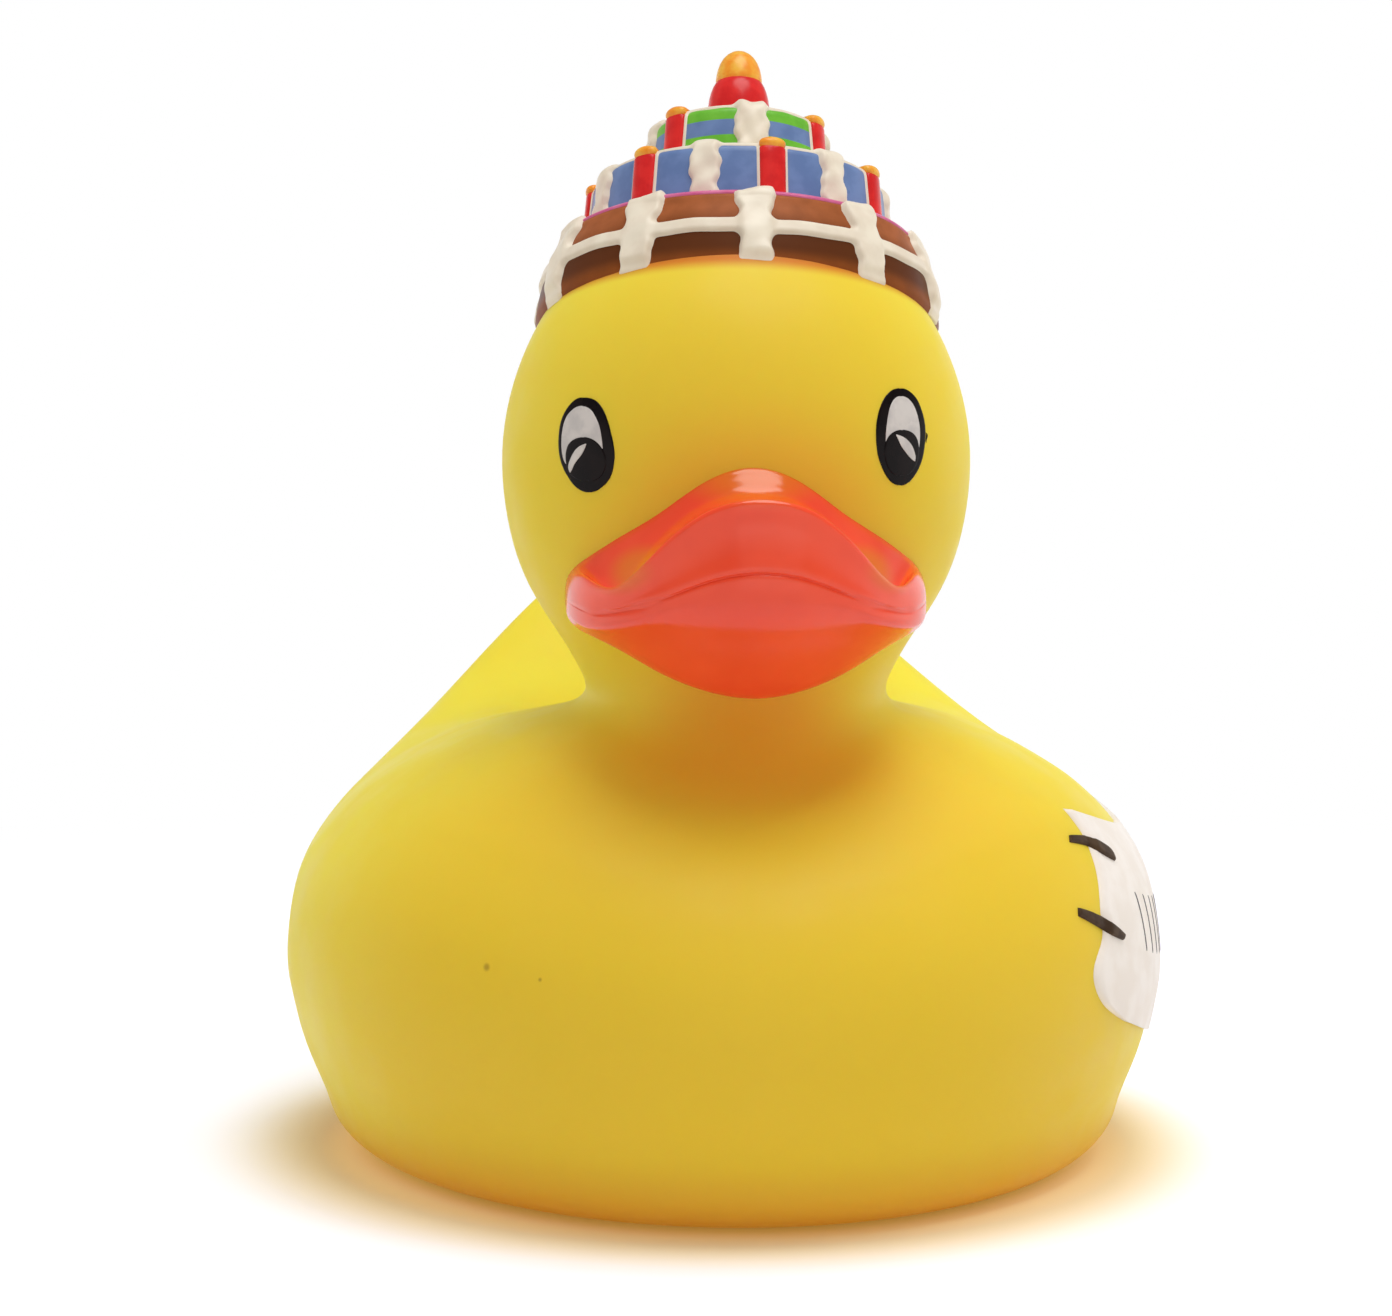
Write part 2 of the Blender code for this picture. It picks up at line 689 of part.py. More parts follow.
def plug_outline():
    """The plug's turned outline, from the bore's floor down the air hole, round and back."""
    return [
        (AIR_HOLE_RADIUS, BORE_FOOT),
        (AIR_HOLE_RADIUS, 0.0),
        (OUTER_FLANGE_RADIUS - PLUG_CHAMFER, 0.0),
        (OUTER_FLANGE_RADIUS, PLUG_CHAMFER),
        (OUTER_FLANGE_RADIUS, OUTER_FLANGE_HEIGHT),
        (PLUG_RADIUS, OUTER_FLANGE_HEIGHT),
        (PLUG_RADIUS, INNER_FLANGE_FOOT),
        (INNER_FLANGE_RADIUS, INNER_FLANGE_FOOT),
        (INNER_FLANGE_RADIUS, INNER_FLANGE_FOOT + PLUG_CHAMFER),
        (TUBE_RADIUS + PLUG_CHAMFER, INNER_FLANGE_TOP),
        (TUBE_RADIUS, INNER_FLANGE_TOP + PLUG_CHAMFER),
        (TUBE_RADIUS, TUBE_TOP - PLUG_CHAMFER),
        (TUBE_RADIUS - PLUG_CHAMFER, TUBE_TOP),
        (BORE_RADIUS, TUBE_TOP),
        (BORE_RADIUS, BORE_FOOT),
        (AIR_HOLE_RADIUS, BORE_FOOT),
    ]


def build_block(plastic):
    """The half-round block in the bore, with a groove down its flat face for the air."""
    radius = BORE_RADIUS - CLEARANCE
    height = TUBE_TOP - BORE_FOOT - CLEARANCE - BLOCK_DROP
    limit = math.asin(BLOCK_FACE / radius)
    arc = []
    for angle in np.linspace(limit, math.pi - limit, BLOCK_STEPS):
        arc.append((radius * math.cos(angle), -radius * math.sin(angle)))
    solid = loft([[(x, y, z) for x, y in arc] for z in (0.0, height)])
    block = add_object("squeaker_block", solid, plastic)

    side = GROOVE_WIDTH / 2
    above = GROOVE_DEPTH - BLOCK_FACE
    floor = -BLOCK_FACE - GROOVE_DEPTH
    section = ((-side, above), (-side, floor), (side, floor), (side, above))
    groove = loft([[(x, y, z) for x, y in section] for z in (-1.0, height - GROOVE_STOP)])
    cutters = bpy.data.collections.new("squeaker_cutters")
    bpy.context.scene.collection.children.link(cutters)
    add_boolean(block, "air_groove", "DIFFERENCE", add_guide("air_groove", groove, cutters))
    return block


def build_reed(finish):
    """The reed, a strip whose lower end stands off the block so that the air can shake it."""
    half = REED_WIDTH / 2
    strip = []
    for z, lift in ((0.0, REED_LIFT), (REED_LENGTH - REED_CLAMPED, 0.0), (REED_LENGTH, 0.0)):
        far = lift + REED_THICKNESS
        strip.append([(-half, lift, z), (half, lift, z), (half, far, z), (-half, far, z)])
    return add_object("squeaker_reed", loft(strip), finish)


def build_squeaker(plastic, reed_finish):
    """The plug, the block in its bore and the reed between them, each placed on the empty."""
    seat = bpy.data.objects.new("squeaker_seat", None)
    bpy.context.scene.collection.objects.link(seat)
    seat.location = (0, 0, FLOOR_GAP * MM)
    plug = add_object("squeaker_body", turned(plug_outline(), PLUG_STEPS), plastic)
    block = build_block(plastic)
    block.location = (0, 0, (BORE_FOOT + CLEARANCE) * MM)
    reed = build_reed(reed_finish)
    reed.location = (0, (CLEARANCE - BLOCK_FACE) * MM, (BORE_FOOT + 2 * CLEARANCE) * MM)
    for piece in (plug, block, reed):
        piece.parent = seat


# The moulding


def cylinder(radius, foot, top, steps):
    """A plain upright cylinder on the Z axis."""
    return turned([(0.0, foot), (radius, foot), (radius, top), (0.0, top)], steps)


def build_duck(vinyl):
    """The moulding: the skin with what is raised on it, less the hollow and the squeaker's seat."""
    rings = skin_rings(SKIN_STEPS)
    duck = add_object("duck_shell", loft(rings), vinyl)

    raised = bpy.data.collections.new("raised_forms")
    hollows = bpy.data.collections.new("hollow_forms")
    bpy.context.scene.collection.children.link(raised)
    bpy.context.scene.collection.children.link(hollows)

    add_guide("bill", bill(BILL_ARC), raised)
    build_hat(raised)
    build_label(raised, rings)
    add_boolean(duck, "raise", "UNION", raised)

    grip_foot = FLOOR_GAP + GRIP_FOOT
    grip_top = FLOOR_GAP + GRIP_TOP
    inside = add_guide("inside", loft(inset_rings(skin_rings(HOLLOW_STEPS), WALL)), hollows)
    trim = bpy.data.collections.new("trimming_forms")
    bpy.context.scene.collection.children.link(trim)
    boss = add_guide("squeaker_boss", cylinder(BOSS_RADIUS, -1.0, grip_top, PLUG_STEPS), trim)
    add_boolean(inside, "leave_boss", "DIFFERENCE", boss)
    add_guide("inside_bill", bill(BILL_HOLLOW_ARC, BILL_WALL), hollows)
    add_guide("inside_hat", hat_hollow(), hollows)
    recess = cylinder(OUTER_FLANGE_RADIUS + CLEARANCE, -1.0, grip_foot, PLUG_STEPS)
    add_guide("squeaker_recess", recess, hollows)
    hole = cylinder(PLUG_RADIUS + CLEARANCE, -1.5, grip_top + 2.0, PLUG_STEPS)
    add_guide("squeaker_hole", hole, hollows)
    add_boolean(duck, "hollow", "DIFFERENCE", hollows)


for leftover in list(bpy.data.objects):
    bpy.data.objects.remove(leftover, do_unlink=True)

build_duck(material("yellow_vinyl", (0.91, 0.68, 0.04), 0.38))
build_squeaker(
    material("white_plastic", (0.86, 0.86, 0.82), 0.4),
    material("clear_reed", (0.75, 0.78, 0.8), 0.25),
)
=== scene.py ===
import math

import bmesh
import bpy
import numpy as np
from mathutils import Euler, Matrix, Vector
from mathutils.bvhtree import BVHTree


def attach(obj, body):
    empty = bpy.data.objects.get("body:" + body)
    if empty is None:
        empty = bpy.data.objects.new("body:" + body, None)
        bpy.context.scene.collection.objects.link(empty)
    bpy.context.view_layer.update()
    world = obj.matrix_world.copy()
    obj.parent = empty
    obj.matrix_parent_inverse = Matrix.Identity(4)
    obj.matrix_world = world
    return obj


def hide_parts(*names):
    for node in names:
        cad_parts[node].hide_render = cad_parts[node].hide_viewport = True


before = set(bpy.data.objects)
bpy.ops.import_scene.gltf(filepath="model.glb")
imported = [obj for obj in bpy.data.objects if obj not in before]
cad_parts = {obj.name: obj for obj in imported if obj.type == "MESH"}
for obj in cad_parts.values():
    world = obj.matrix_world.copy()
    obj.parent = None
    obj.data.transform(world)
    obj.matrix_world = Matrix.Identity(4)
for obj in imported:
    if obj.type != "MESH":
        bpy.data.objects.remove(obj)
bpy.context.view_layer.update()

# The duck was photographed from a little above its back, and from a little to its right of straight
# ahead. The camera comes first, because the eyes and stitches are placed along its lines of sight.

CAMERA_AWAY = 0.350
CAMERA_TURN = math.radians(6.0)
CAMERA_HEIGHT = 0.079
CAMERA_DOWN = math.radians(6.12)
FOCAL_PIXELS = 4068
PHOTO_WIDTH = 1392
PHOTO_HEIGHT = 1316
DUCK_OFF_CENTRE = 24

eye_point = Vector(
    (-CAMERA_AWAY * math.sin(CAMERA_TURN), -CAMERA_AWAY * math.cos(CAMERA_TURN), CAMERA_HEIGHT)
)
aim = Euler(
    (math.pi / 2 - CAMERA_DOWN, 0, math.atan(DUCK_OFF_CENTRE / FOCAL_PIXELS) - CAMERA_TURN), "XYZ"
)
lens = bpy.data.cameras.new("photo_camera")
lens.sensor_fit = "HORIZONTAL"
lens.sensor_width = 36
lens.lens = FOCAL_PIXELS / PHOTO_WIDTH * lens.sensor_width
lens.clip_start = 0.01
camera = bpy.data.objects.new("photo_camera", lens)
camera.location = eye_point
camera.rotation_euler = aim
bpy.context.scene.collection.objects.link(camera)
bpy.context.scene.camera = camera


def sight_line(across, down):
    """The direction from the camera through a place in the photograph."""
    ray = Vector(
        ((across - PHOTO_WIDTH / 2) / FOCAL_PIXELS, (PHOTO_HEIGHT / 2 - down) / FOCAL_PIXELS, -1)
    )
    return (aim.to_matrix() @ ray).normalized()


# The skin is one hollow moulding of soft yellow vinyl, about 2.2 mm thick: body, tail and head in one.
# Its satin surface comes off the mould. A hole in the flat base takes the squeaker.

# Sizes are in millimetres. The tail tapers by a share, and the foot stands a touch to the left.
MM = 0.001
WALL = 2.2
HEAD_MIDDLE = (0.4, -9.0, 58.8)
HEAD_RINGS = 11
UPRIGHT_RINGS = 9
TAIL_TAPER = 0.14
LEAN = 0.35
LEAN_RINGS = 7
SKIN_COLUMNS = 200
SKIN_ROWS = 5

# Rings of points across the flat sole, as shares of the way from the squeaker's seat to the edge
SOLE_SHARES = (0.85, 0.6, 0.3)

# The duck's outline from the foot to the top of the head, seen from in front (out, up), and along its
# middle at the breast and at the back (y, up)
FLANK = [
    (29.6, 0.0), (31.9, 0.67), (33.75, 2.5), (34.65, 5.0), (36.2, 8.95), (37.2, 13.04), (37.55, 16.6),
    (36.8, 22.03), (35.3, 25.66), (33.9, 27.63), (32.65, 29.04), (31.15, 30.39), (29.45, 31.66),
    (26.61, 33.42), (23.34, 35.15), (19.32, 36.73), (15.3, 37.87), (13.42, 38.67), (12.68, 39.69),
    (12.87, 41.0), (13.72, 42.67), (15.01, 44.79), (17.31, 48.57), (18.93, 53.16), (19.6, 58.8),
    (18.93, 64.44), (16.97, 69.7), (13.86, 74.21), (9.8, 77.68), (6.7, 79.29), (3.74, 80.2), (1.37, 80.55),
]
BREAST = [
    (-35.06, 0.0), (-37.56, 0.67), (-39.39, 2.5), (-40.06, 5.0), (-41.86, 8.95), (-42.91, 13.04),
    (-43.2, 16.6), (-42.55, 20.53), (-41.34, 23.21), (-40.38, 24.71), (-39.52, 25.8), (-38.57, 26.87),
    (-37.5, 27.92), (-35.72, 29.42), (-33.49, 31.0), (-30.74, 32.62), (-28.0, 33.96), (-25.71, 35.64),
    (-24.22, 37.84), (-23.5, 40.29), (-23.55, 42.7), (-24.32, 44.79), (-26.66, 48.57), (-28.32, 53.16),
    (-29.0, 58.8), (-28.32, 64.44), (-26.32, 69.7), (-23.14, 74.21), (-19.0, 77.68), (-15.84, 79.29),
    (-12.82, 80.2), (-10.4, 80.55),
]
BACK = [
    (29.0, 0.0), (31.2, 0.42), (32.81, 1.55), (33.4, 3.1), (34.93, 9.24), (36.51, 16.36), (38.08, 24.01),
    (39.63, 31.74), (41.1, 39.11), (42.47, 45.66), (42.31, 47.98), (40.69, 49.66), (38.15, 49.83),
    (32.08, 43.24), (26.07, 37.47), (20.45, 33.27), (15.5, 31.4), (9.9, 32.28), (5.8, 35.49), (4.2, 40.1),
    (4.55, 41.6), (6.32, 44.79), (8.66, 48.57), (10.32, 53.16), (11.0, 58.8), (10.32, 64.44),
    (8.32, 69.7), (5.14, 74.21), (1.0, 77.68), (-2.16, 79.29), (-5.18, 80.2), (-7.6, 80.55),
]

# The squeaker's seat in the base: (radius, height), from the lip of the recess up to the boss inside
SEAT = [
    (9.5, 0.0), (9.2, 0.06), (9.1, 0.3), (9.1, 1.75), (8.95, 2.0), (7.3, 2.0), (7.12, 2.1), (7.1, 2.4),
    (7.1, 4.3), (7.3, 4.6), (11.2, 4.6), (11.5, 4.3), (11.5, 2.6), (12.2, 2.2),
]


def smooth_through(rows, times):
    """A smooth curve through rows of values at 0, 1, 2 ..., read at any times between."""
    rows = np.asarray(rows, float)
    count = len(rows)
    system = np.eye(count)
    pull = np.zeros_like(rows)
    for i in range(1, count - 1):
        system[i, i - 1 : i + 2] = (1, 4, 1)
        pull[i] = 6 * (rows[i - 1] - 2 * rows[i] + rows[i + 1])
    bend = np.linalg.solve(system, pull)
    times = np.asarray(times, float)
    low = np.clip(times.astype(int), 0, count - 2)
    after = (times - low)[:, None]
    before = 1 - after
    lift = (before**3 - before) * bend[low] + (after**3 - after) * bend[low + 1]
    return before * rows[low] + after * rows[low + 1] + lift / 6


def ease(value, low=0, high=1):
    """0 below low, 1 above high and smooth between."""
    share = np.clip((value - low) / (high - low), 0, 1)
    return share * share * (3 - 2 * share)


def skin_rings(times):
    """Rings round the duck at these places up its outline, where the outlines' points are 0, 1, 2 ..."""
    side = smooth_through(FLANK, times)
    front = smooth_through(BREAST, times)
    back = smooth_through(BACK, times)
    neck = len(FLANK) - HEAD_RINGS - 2
    share = ease(times, UPRIGHT_RINGS, neck)[:, None]
    turn = math.tau * np.arange(SKIN_COLUMNS) / SKIN_COLUMNS
    ahead = np.cos(turn)[None, :]
    fore = np.maximum(ahead, 0) ** 3
    rear = np.maximum(-ahead, 0) ** 3
    half = (front[:, :1] - back[:, :1]) / 2
    middle = (front[:, :1] + back[:, :1]) / 2
    x = share * HEAD_MIDDLE[0] + side[:, :1] * np.sin(turn) * (1 - (1 - share) * TAIL_TAPER * rear)
    x = x + LEAN * np.clip(1 - times / LEAN_RINGS, 0, 1)[:, None]
    y = share * HEAD_MIDDLE[1] + half * ahead + (middle - share * HEAD_MIDDLE[1]) * ahead**2
    z = side[:, 1:] + (front[:, 1:] - side[:, 1:]) * fore + (back[:, 1:] - side[:, 1:]) * rear
    return np.stack(np.broadcast_arrays(x, y, z), axis=2)


def inset(rings, depth):
    """The same rings, moved into the body by a wall's thickness."""
    up = np.gradient(rings, axis=0)
    along = np.roll(rings, -1, axis=1) - np.roll(rings, 1, axis=1)
    outward = np.cross(along, up)
    outward /= np.linalg.norm(outward, axis=2, keepdims=True)
    return rings - depth * outward


def add_piece(name, points, faces, finish, sharp=40):
    """A piece of the duck from points in millimetres, smooth-shaded but for its sharp edges."""
    mesh = bpy.data.meshes.new(name)
    mesh.from_pydata([tuple(p) for p in np.asarray(points, float) * MM], [], faces)
    bm = bmesh.new()
    bm.from_mesh(mesh)
    bmesh.ops.recalc_face_normals(bm, faces=bm.faces)
    bm.to_mesh(mesh)
    bm.free()
    mesh.shade_smooth()
    mesh.set_sharp_from_angle(angle=math.radians(sharp))
    mesh.materials.append(finish)
    piece = bpy.data.objects.new(name, mesh)
    bpy.context.scene.collection.objects.link(piece)
    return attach(piece, "root")


def round_points(radius, turn, height):
    """Points round an axis, at a turn from straight ahead."""
    points = (radius * np.sin(turn), -radius * np.cos(turn), height)
    return np.stack(np.broadcast_arrays(*points), axis=-1)


def ring_faces(rows, columns, ends=True):
    """The faces of a skin over rows of points that run round it, with a flat face at each end or none."""
    faces = []
    for k in range(rows - 1):
        for i in range(columns):
            j = (i + 1) % columns
            low = k * columns
            faces.append((low + i, low + j, low + columns + j, low + columns + i))
    if ends:
        faces.append(tuple(range(columns))[::-1])
        faces.append(tuple((rows - 1) * columns + i for i in range(columns)))
    return faces


def loft(name, rings, finish, sharp=40):
    """A closed piece over rings of points."""
    rings = np.asarray(rings, float)
    rows, columns = rings.shape[:2]
    return add_piece(name, rings.reshape(-1, 3), ring_faces(rows, columns), finish, sharp)


def colour(red, green, blue):
    """A colour as it is seen, 0 to 255, as the shader's linear values."""
    seen = np.array((red, green, blue)) / 255
    linear = np.where(seen <= 0.04045, seen / 12.92, ((seen + 0.055) / 1.055) ** 2.4)
    return (*(float(v) for v in linear), 1.0)


def cloud(tree, place, size, detail=3.0):
    """Soft noise whose patches are about this many millimetres across."""
    noise = tree.nodes.new("ShaderNodeTexNoise")
    noise.inputs["Scale"].default_value = 1 / (size * MM)
    noise.inputs["Detail"].default_value = detail
    tree.links.new(place, noise.inputs["Vector"])
    return noise.outputs["Fac"]


def spread(tree, value, low, high, out_low, out_high):
    """A value's range from low to high, stretched to another range."""
    spreader = tree.nodes.new("ShaderNodeMapRange")
    spreader.interpolation_type = "SMOOTHSTEP"
    for socket, number in zip(spreader.inputs[1:5], (low, high, out_low, out_high)):
        socket.default_value = number
    tree.links.new(value, spreader.inputs[0])
    return spreader.outputs[0]


def finish_nodes(name, roughness, patch=5.0):
    """A new material, its node tree, its shader and the piece's own coordinates in metres. Its gloss
    wanders a little, in patches about this many millimetres across."""
    made = bpy.data.materials.new(name)
    made.use_nodes = True
    tree = made.node_tree
    shader = tree.nodes["Principled BSDF"]
    place = tree.nodes.new("ShaderNodeTexCoord").outputs["Object"]
    dull = spread(tree, cloud(tree, place, patch), 0.3, 0.7, 0.85 * roughness, 1.15 * roughness)
    tree.links.new(dull, shader.inputs["Roughness"])
    return made, tree, shader, place


def blend_colours(tree, share, first, second):
    """Two colours mixed by a share from 0 to 1. Each is a colour or an output."""
    mixer = tree.nodes.new("ShaderNodeMix")
    mixer.data_type = "RGBA"
    tree.links.new(share, mixer.inputs["Factor"])
    for socket, value in ((mixer.inputs[6], first), (mixer.inputs[7], second)):
        if isinstance(value, tuple):
            socket.default_value = value
        else:
            tree.links.new(value, socket)
    return mixer.outputs[2]


def on_vectors(tree, operation, first, second=(0, 0, 0)):
    """One step of arithmetic on a place and three plain numbers."""
    step = tree.nodes.new("ShaderNodeVectorMath")
    step.operation = operation
    tree.links.new(first, step.inputs[0])
    step.inputs[1].default_value = second
    return step.outputs["Value" if operation in ("LENGTH", "DOT_PRODUCT") else "Vector"]


def distance_in(tree, place, middle, size):
    """How far a place lies from a middle, counted in this size along each direction (mm)."""
    near = on_vectors(tree, "SUBTRACT", place, [v * MM for v in middle])
    near = on_vectors(tree, "DIVIDE", near, [v * MM for v in size])
    return on_vectors(tree, "LENGTH", near)


def roughen(tree, shader, height, depth):
    """Raise the surface by a pattern of this depth in millimetres."""
    bump = tree.nodes.new("ShaderNodeBump")
    bump.inputs["Distance"].default_value = depth * MM
    bump.inputs["Strength"].default_value = 1.0
    tree.links.new(height, bump.inputs["Height"])
    tree.links.new(bump.outputs["Normal"], shader.inputs["Normal"])


# The vinyl is painted light and shade: a deeper, shaded yellow in front and a paler, lit yellow toward the
# tail (y from and to), with a soft mottle
SHADED_FRONT_YELLOW = colour(237, 201, 58)
LIT_TAIL_YELLOW = colour(241, 225, 70)
MOTTLE_YELLOW = colour(236, 201, 48)
LIT_TOWARD_TAIL = (-32.0, -4.0)

# Paint from the bill that drifted on under the chin and over the brow, with painted shade and painted
# orange reflected
# from the bill, most under the chin: where, how far it reaches across, along and up, and how strong it is
DRIFT_AND_SHADE_ORANGE = colour(242, 134, 54)
DRIFTS_AND_SHADE = (
    ((0.6, -27.0, 39.5), (16.0, 11.0, 10.0), 0.34),
    ((0.4, -29.0, 58.5), (17.0, 9.0, 8.5), 0.16),
)

# The wall is painted orange toward the foot as painted shade and warm light from the paper (from and to,
# going up), and the sole stays yellow
FOOT_SHADE_ORANGE = colour(232, 124, 44)
FOOT_SHADE_HEIGHTS = (0.5, 7.0)
SOLE_EDGE = (0.1, 0.6)

# Where two specks of dirt got into the mould, and how big they are
DIRT = colour(140, 98, 36)
SPECKS = (((-21.9, -34.0, 21.0), 0.3), ((-17.9, -37.1, 20.5), 0.16))

yellow_vinyl, tree, shader, place = finish_nodes("yellow_vinyl", 0.45)
parts = tree.nodes.new("ShaderNodeSeparateXYZ")
tree.links.new(place, parts.inputs[0])
# Painted shade in front, painted light toward the tail
lit_toward_rear = spread(tree, parts.outputs["Y"], LIT_TOWARD_TAIL[0] * MM, LIT_TOWARD_TAIL[1] * MM, 0, 1)
skin_colour = blend_colours(tree, lit_toward_rear, SHADED_FRONT_YELLOW, LIT_TAIL_YELLOW)
mottle = spread(tree, cloud(tree, place, 16), 0.35, 0.75, 0, 0.35)
skin_colour = blend_colours(tree, mottle, skin_colour, MOTTLE_YELLOW)
# Bill paint drift, with painted shade and painted orange from the bill under the chin
for middle, size, strength in DRIFTS_AND_SHADE:
    drift_and_shade = spread(tree, distance_in(tree, place, middle, size), 0.2, 1.0, strength, 0)
    skin_colour = blend_colours(tree, drift_and_shade, skin_colour, DRIFT_AND_SHADE_ORANGE)
# Painted shade toward the foot
painted_foot_shade = spread(tree, parts.outputs["Z"], FOOT_SHADE_HEIGHTS[0] * MM, FOOT_SHADE_HEIGHTS[1] * MM, 0.45, 0)
foot_shaded_wall = blend_colours(tree, painted_foot_shade, skin_colour, FOOT_SHADE_ORANGE)
off_the_sole = spread(tree, parts.outputs["Z"], SOLE_EDGE[0] * MM, SOLE_EDGE[1] * MM, 0, 1)
skin_colour = blend_colours(tree, off_the_sole, skin_colour, foot_shaded_wall)
for middle, size in SPECKS:
    dirt = spread(tree, distance_in(tree, place, middle, [size] * 3), 0.3, 1.5, 0.55, 0)
    skin_colour = blend_colours(tree, dirt, skin_colour, DIRT)
tree.links.new(skin_colour, shader.inputs["Base Color"])
roughen(tree, shader, cloud(tree, place, 0.35, 2.0), 0.004)
shader.inputs["Subsurface Weight"].default_value = 0.25
shader.inputs["Subsurface Radius"].default_value = (1.0, 0.5, 0.12)
shader.inputs["Subsurface Scale"].default_value = 0.0025
shader.inputs["Specular IOR Level"].default_value = 0.15

outside = skin_rings(np.linspace(0, len(FLANK) - 1, (len(FLANK) - 1) * SKIN_ROWS + 1))
turn = math.tau * np.arange(SKIN_COLUMNS) / SKIN_COLUMNS
seat = [round_points(radius, turn, height) for radius, height in SEAT]
sole = [seat[0] * (1 - share) + outside[0] * share * (1, 1, 0) for share in SOLE_SHARES]
inside = inset(skin_rings(np.arange(0.0, len(FLANK))), WALL)
skin = loft(
    "duck_skin",
    np.concatenate((outside[::-1], np.array(sole), np.array(seat), inside)),
    yellow_vinyl,
)
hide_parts("duck_shell")

# The bill is part of the same moulding, sprayed a glossy orange red. Its top slopes out from the brow to a
# rolled crest, its front drops to the mouth line, and its underside runs back under the chin.

# The head is an egg with these half sizes
HEAD_SIZE = (19.6, 20.0, 21.8)

# The bill's half width, where its corners lie, its turn to the duck's right, and how far its lines reach
# forward of the corners
BILL_HALF_WIDTH = 14.6
CORNER_Y = -21.0
FACE_TURN = math.radians(-2.4)
CREST_REACH = 17.2
FRONT_REACH = 17.9
CHIN_REACH = 11.0
BILL_BURIED_Y = -15.0
SPAN_STEPS = 5
BILL_SLICES = 121
LAST_SLICE = 88

# The spray is an orange red that wanders a little in tone
SPRAY = (colour(250, 80, 46), colour(244, 74, 42))

# In the two dishes between brow and crest, and on top, it is painted more orange as a painted reflection of
# the yellow head:
# the middle of each place and how far it reaches
HEAD_REFLECTION_ORANGE = colour(230, 116, 28)
HEAD_REFLECTION_PLACES = (
    ((-10.6, -30.5, 52.0), (5.0, 5.5, 2.5)),
    ((9.8, -31.3, 52.0), (5.0, 5.5, 2.5)),
    ((-0.3, -33.0, 59.6), (12.0, 10.0, 3.4)),
)

# Heights above the head's middle, at every 15 degrees from the middle of the face to a corner
EDGE_STEP = 15
ROOT = [0.9, -0.25, -2.8, -4.8, -6.5, -7.9, -9.4]
CREST = [-1.1, -1.9, -4.6, -7.8, -8.75, -8.7, -9.6]
MOUTH = [-6.7, -7.3, -8.75, -9.9, -10.5, -10.3, -10.2]
LIP = [-9.8, -9.8, -10.2, -11.2, -11.7, -11.4, -10.6]
CHIN = [-17.15, -16.6, -15.3, -13.7, -12.7, -12.0, -11.0]


def brow(x, z):
    """How far forward the head's front lies at a place on the face."""
    inside = 1 - (x / HEAD_SIZE[0]) ** 2 - ((z - HEAD_MIDDLE[2]) / HEAD_SIZE[2]) ** 2
    return HEAD_MIDDLE[1] - HEAD_SIZE[1] * math.sqrt(max(inside, 0.0))


def bill_slice(turn, heights):
    """One upright slice of the bill, from inside the brow over the crest and lips to under the chin."""
    root, crest, mouth, lip, chin = (HEAD_MIDDLE[2] + h for h in heights)
    x = BILL_HALF_WIDTH * math.sin(turn)
    out = math.cos(turn)
    aside = abs(math.degrees(turn))
    dished = ease(aside, 14, 42) * (1 - ease(aside, 46, 64))
    puff = ease(aside, 48, 74)
    groove = 0.2 * (1 - ease(aside, 24, 38)) + 0.22 * ease(aside, 60, 70) * (1 - ease(aside, 80, 86))
    dip = 0.4 * ease(aside, 32, 46) * (1 - ease(aside, 54, 66))
    root_y = brow(x, root)
    crest_y = CORNER_Y - CREST_REACH * out
    front_y = CORNER_Y - FRONT_REACH * out
    chin_y = CORNER_Y - CHIN_REACH * out
    ramp = root_y - crest_y
    sunk = 0.5 + 0.2 * dished
    drop = root - crest + sunk
    steep = min(drop * (1.0 + 0.3 * dished), 0.7 * ramp)
    tall = crest - mouth
    bead = min(1, tall / 3)
    under = lip - chin
    upper = [
        (root_y - 0.28 * steep, root - 0.3 * drop),
        (root_y - 0.72 * steep, root - 0.76 * drop),
        (root_y - steep - 0.2 * (ramp - steep), root - drop),
        (crest_y + 0.4 * (ramp - steep), crest - 0.6 * sunk),
        (crest_y + 0.6 * out, crest - 0.03),
        (crest_y + 0.22 * out, crest + 0.08 * bead),
        (crest_y - 0.08 * out, crest - 0.18 * bead),
        (crest_y - 0.12 * out, crest - 0.5 * bead),
        (crest_y - 0.15 * out + 0.15 * dip, crest - 0.4 * tall),
        (crest_y - 0.4 * out + 0.3 * dip, crest - 0.7 * tall),
        (front_y + 0.6 * dip, mouth + 0.4 * bead),
        (front_y + 0.04 * out + 0.9 * dip, mouth + 0.18 * bead),
    ]
    for i, (y, z) in enumerate(upper):
        round_to = math.pi / 2 * (i + 1) / (len(upper) + 1)
        round_y = root_y - (root_y - front_y) * math.sin(round_to)
        round_z = root - (root - mouth) * (1 - math.cos(round_to))
        upper[i] = (y + (round_y - y) * puff, z + (round_z - z) * puff)
    outline = [
        (BILL_BURIED_Y, (root + chin) / 2 + 0.25 * (root - chin)),
        (root_y + 2.5, root + 0.2),
        (root_y + 0.15, root + 0.06),
        *upper,
        (front_y + groove + dip, mouth),
        (front_y + 0.06 * out + 0.9 * dip, mouth - 0.18 * bead),
        (front_y + 0.4 * dip, mouth - 0.5 * bead),
        (front_y, lip + 0.3 * (mouth - lip)),
        (front_y + 0.45 * out, lip - 0.06 * under),
        (front_y + 1.9 * out, lip - 0.33 * under),
        (front_y + 3.7 * out, lip - 0.65 * under),
        (front_y + 5.3 * out, lip - 0.89 * under),
        (chin_y, chin),
        (chin_y + 5.0 * out, chin + 0.5 * out),
        (BILL_BURIED_Y, (root + chin) / 2 - 0.25 * (root - chin)),
    ]
    return [(x, y, z) for y, z in outline]


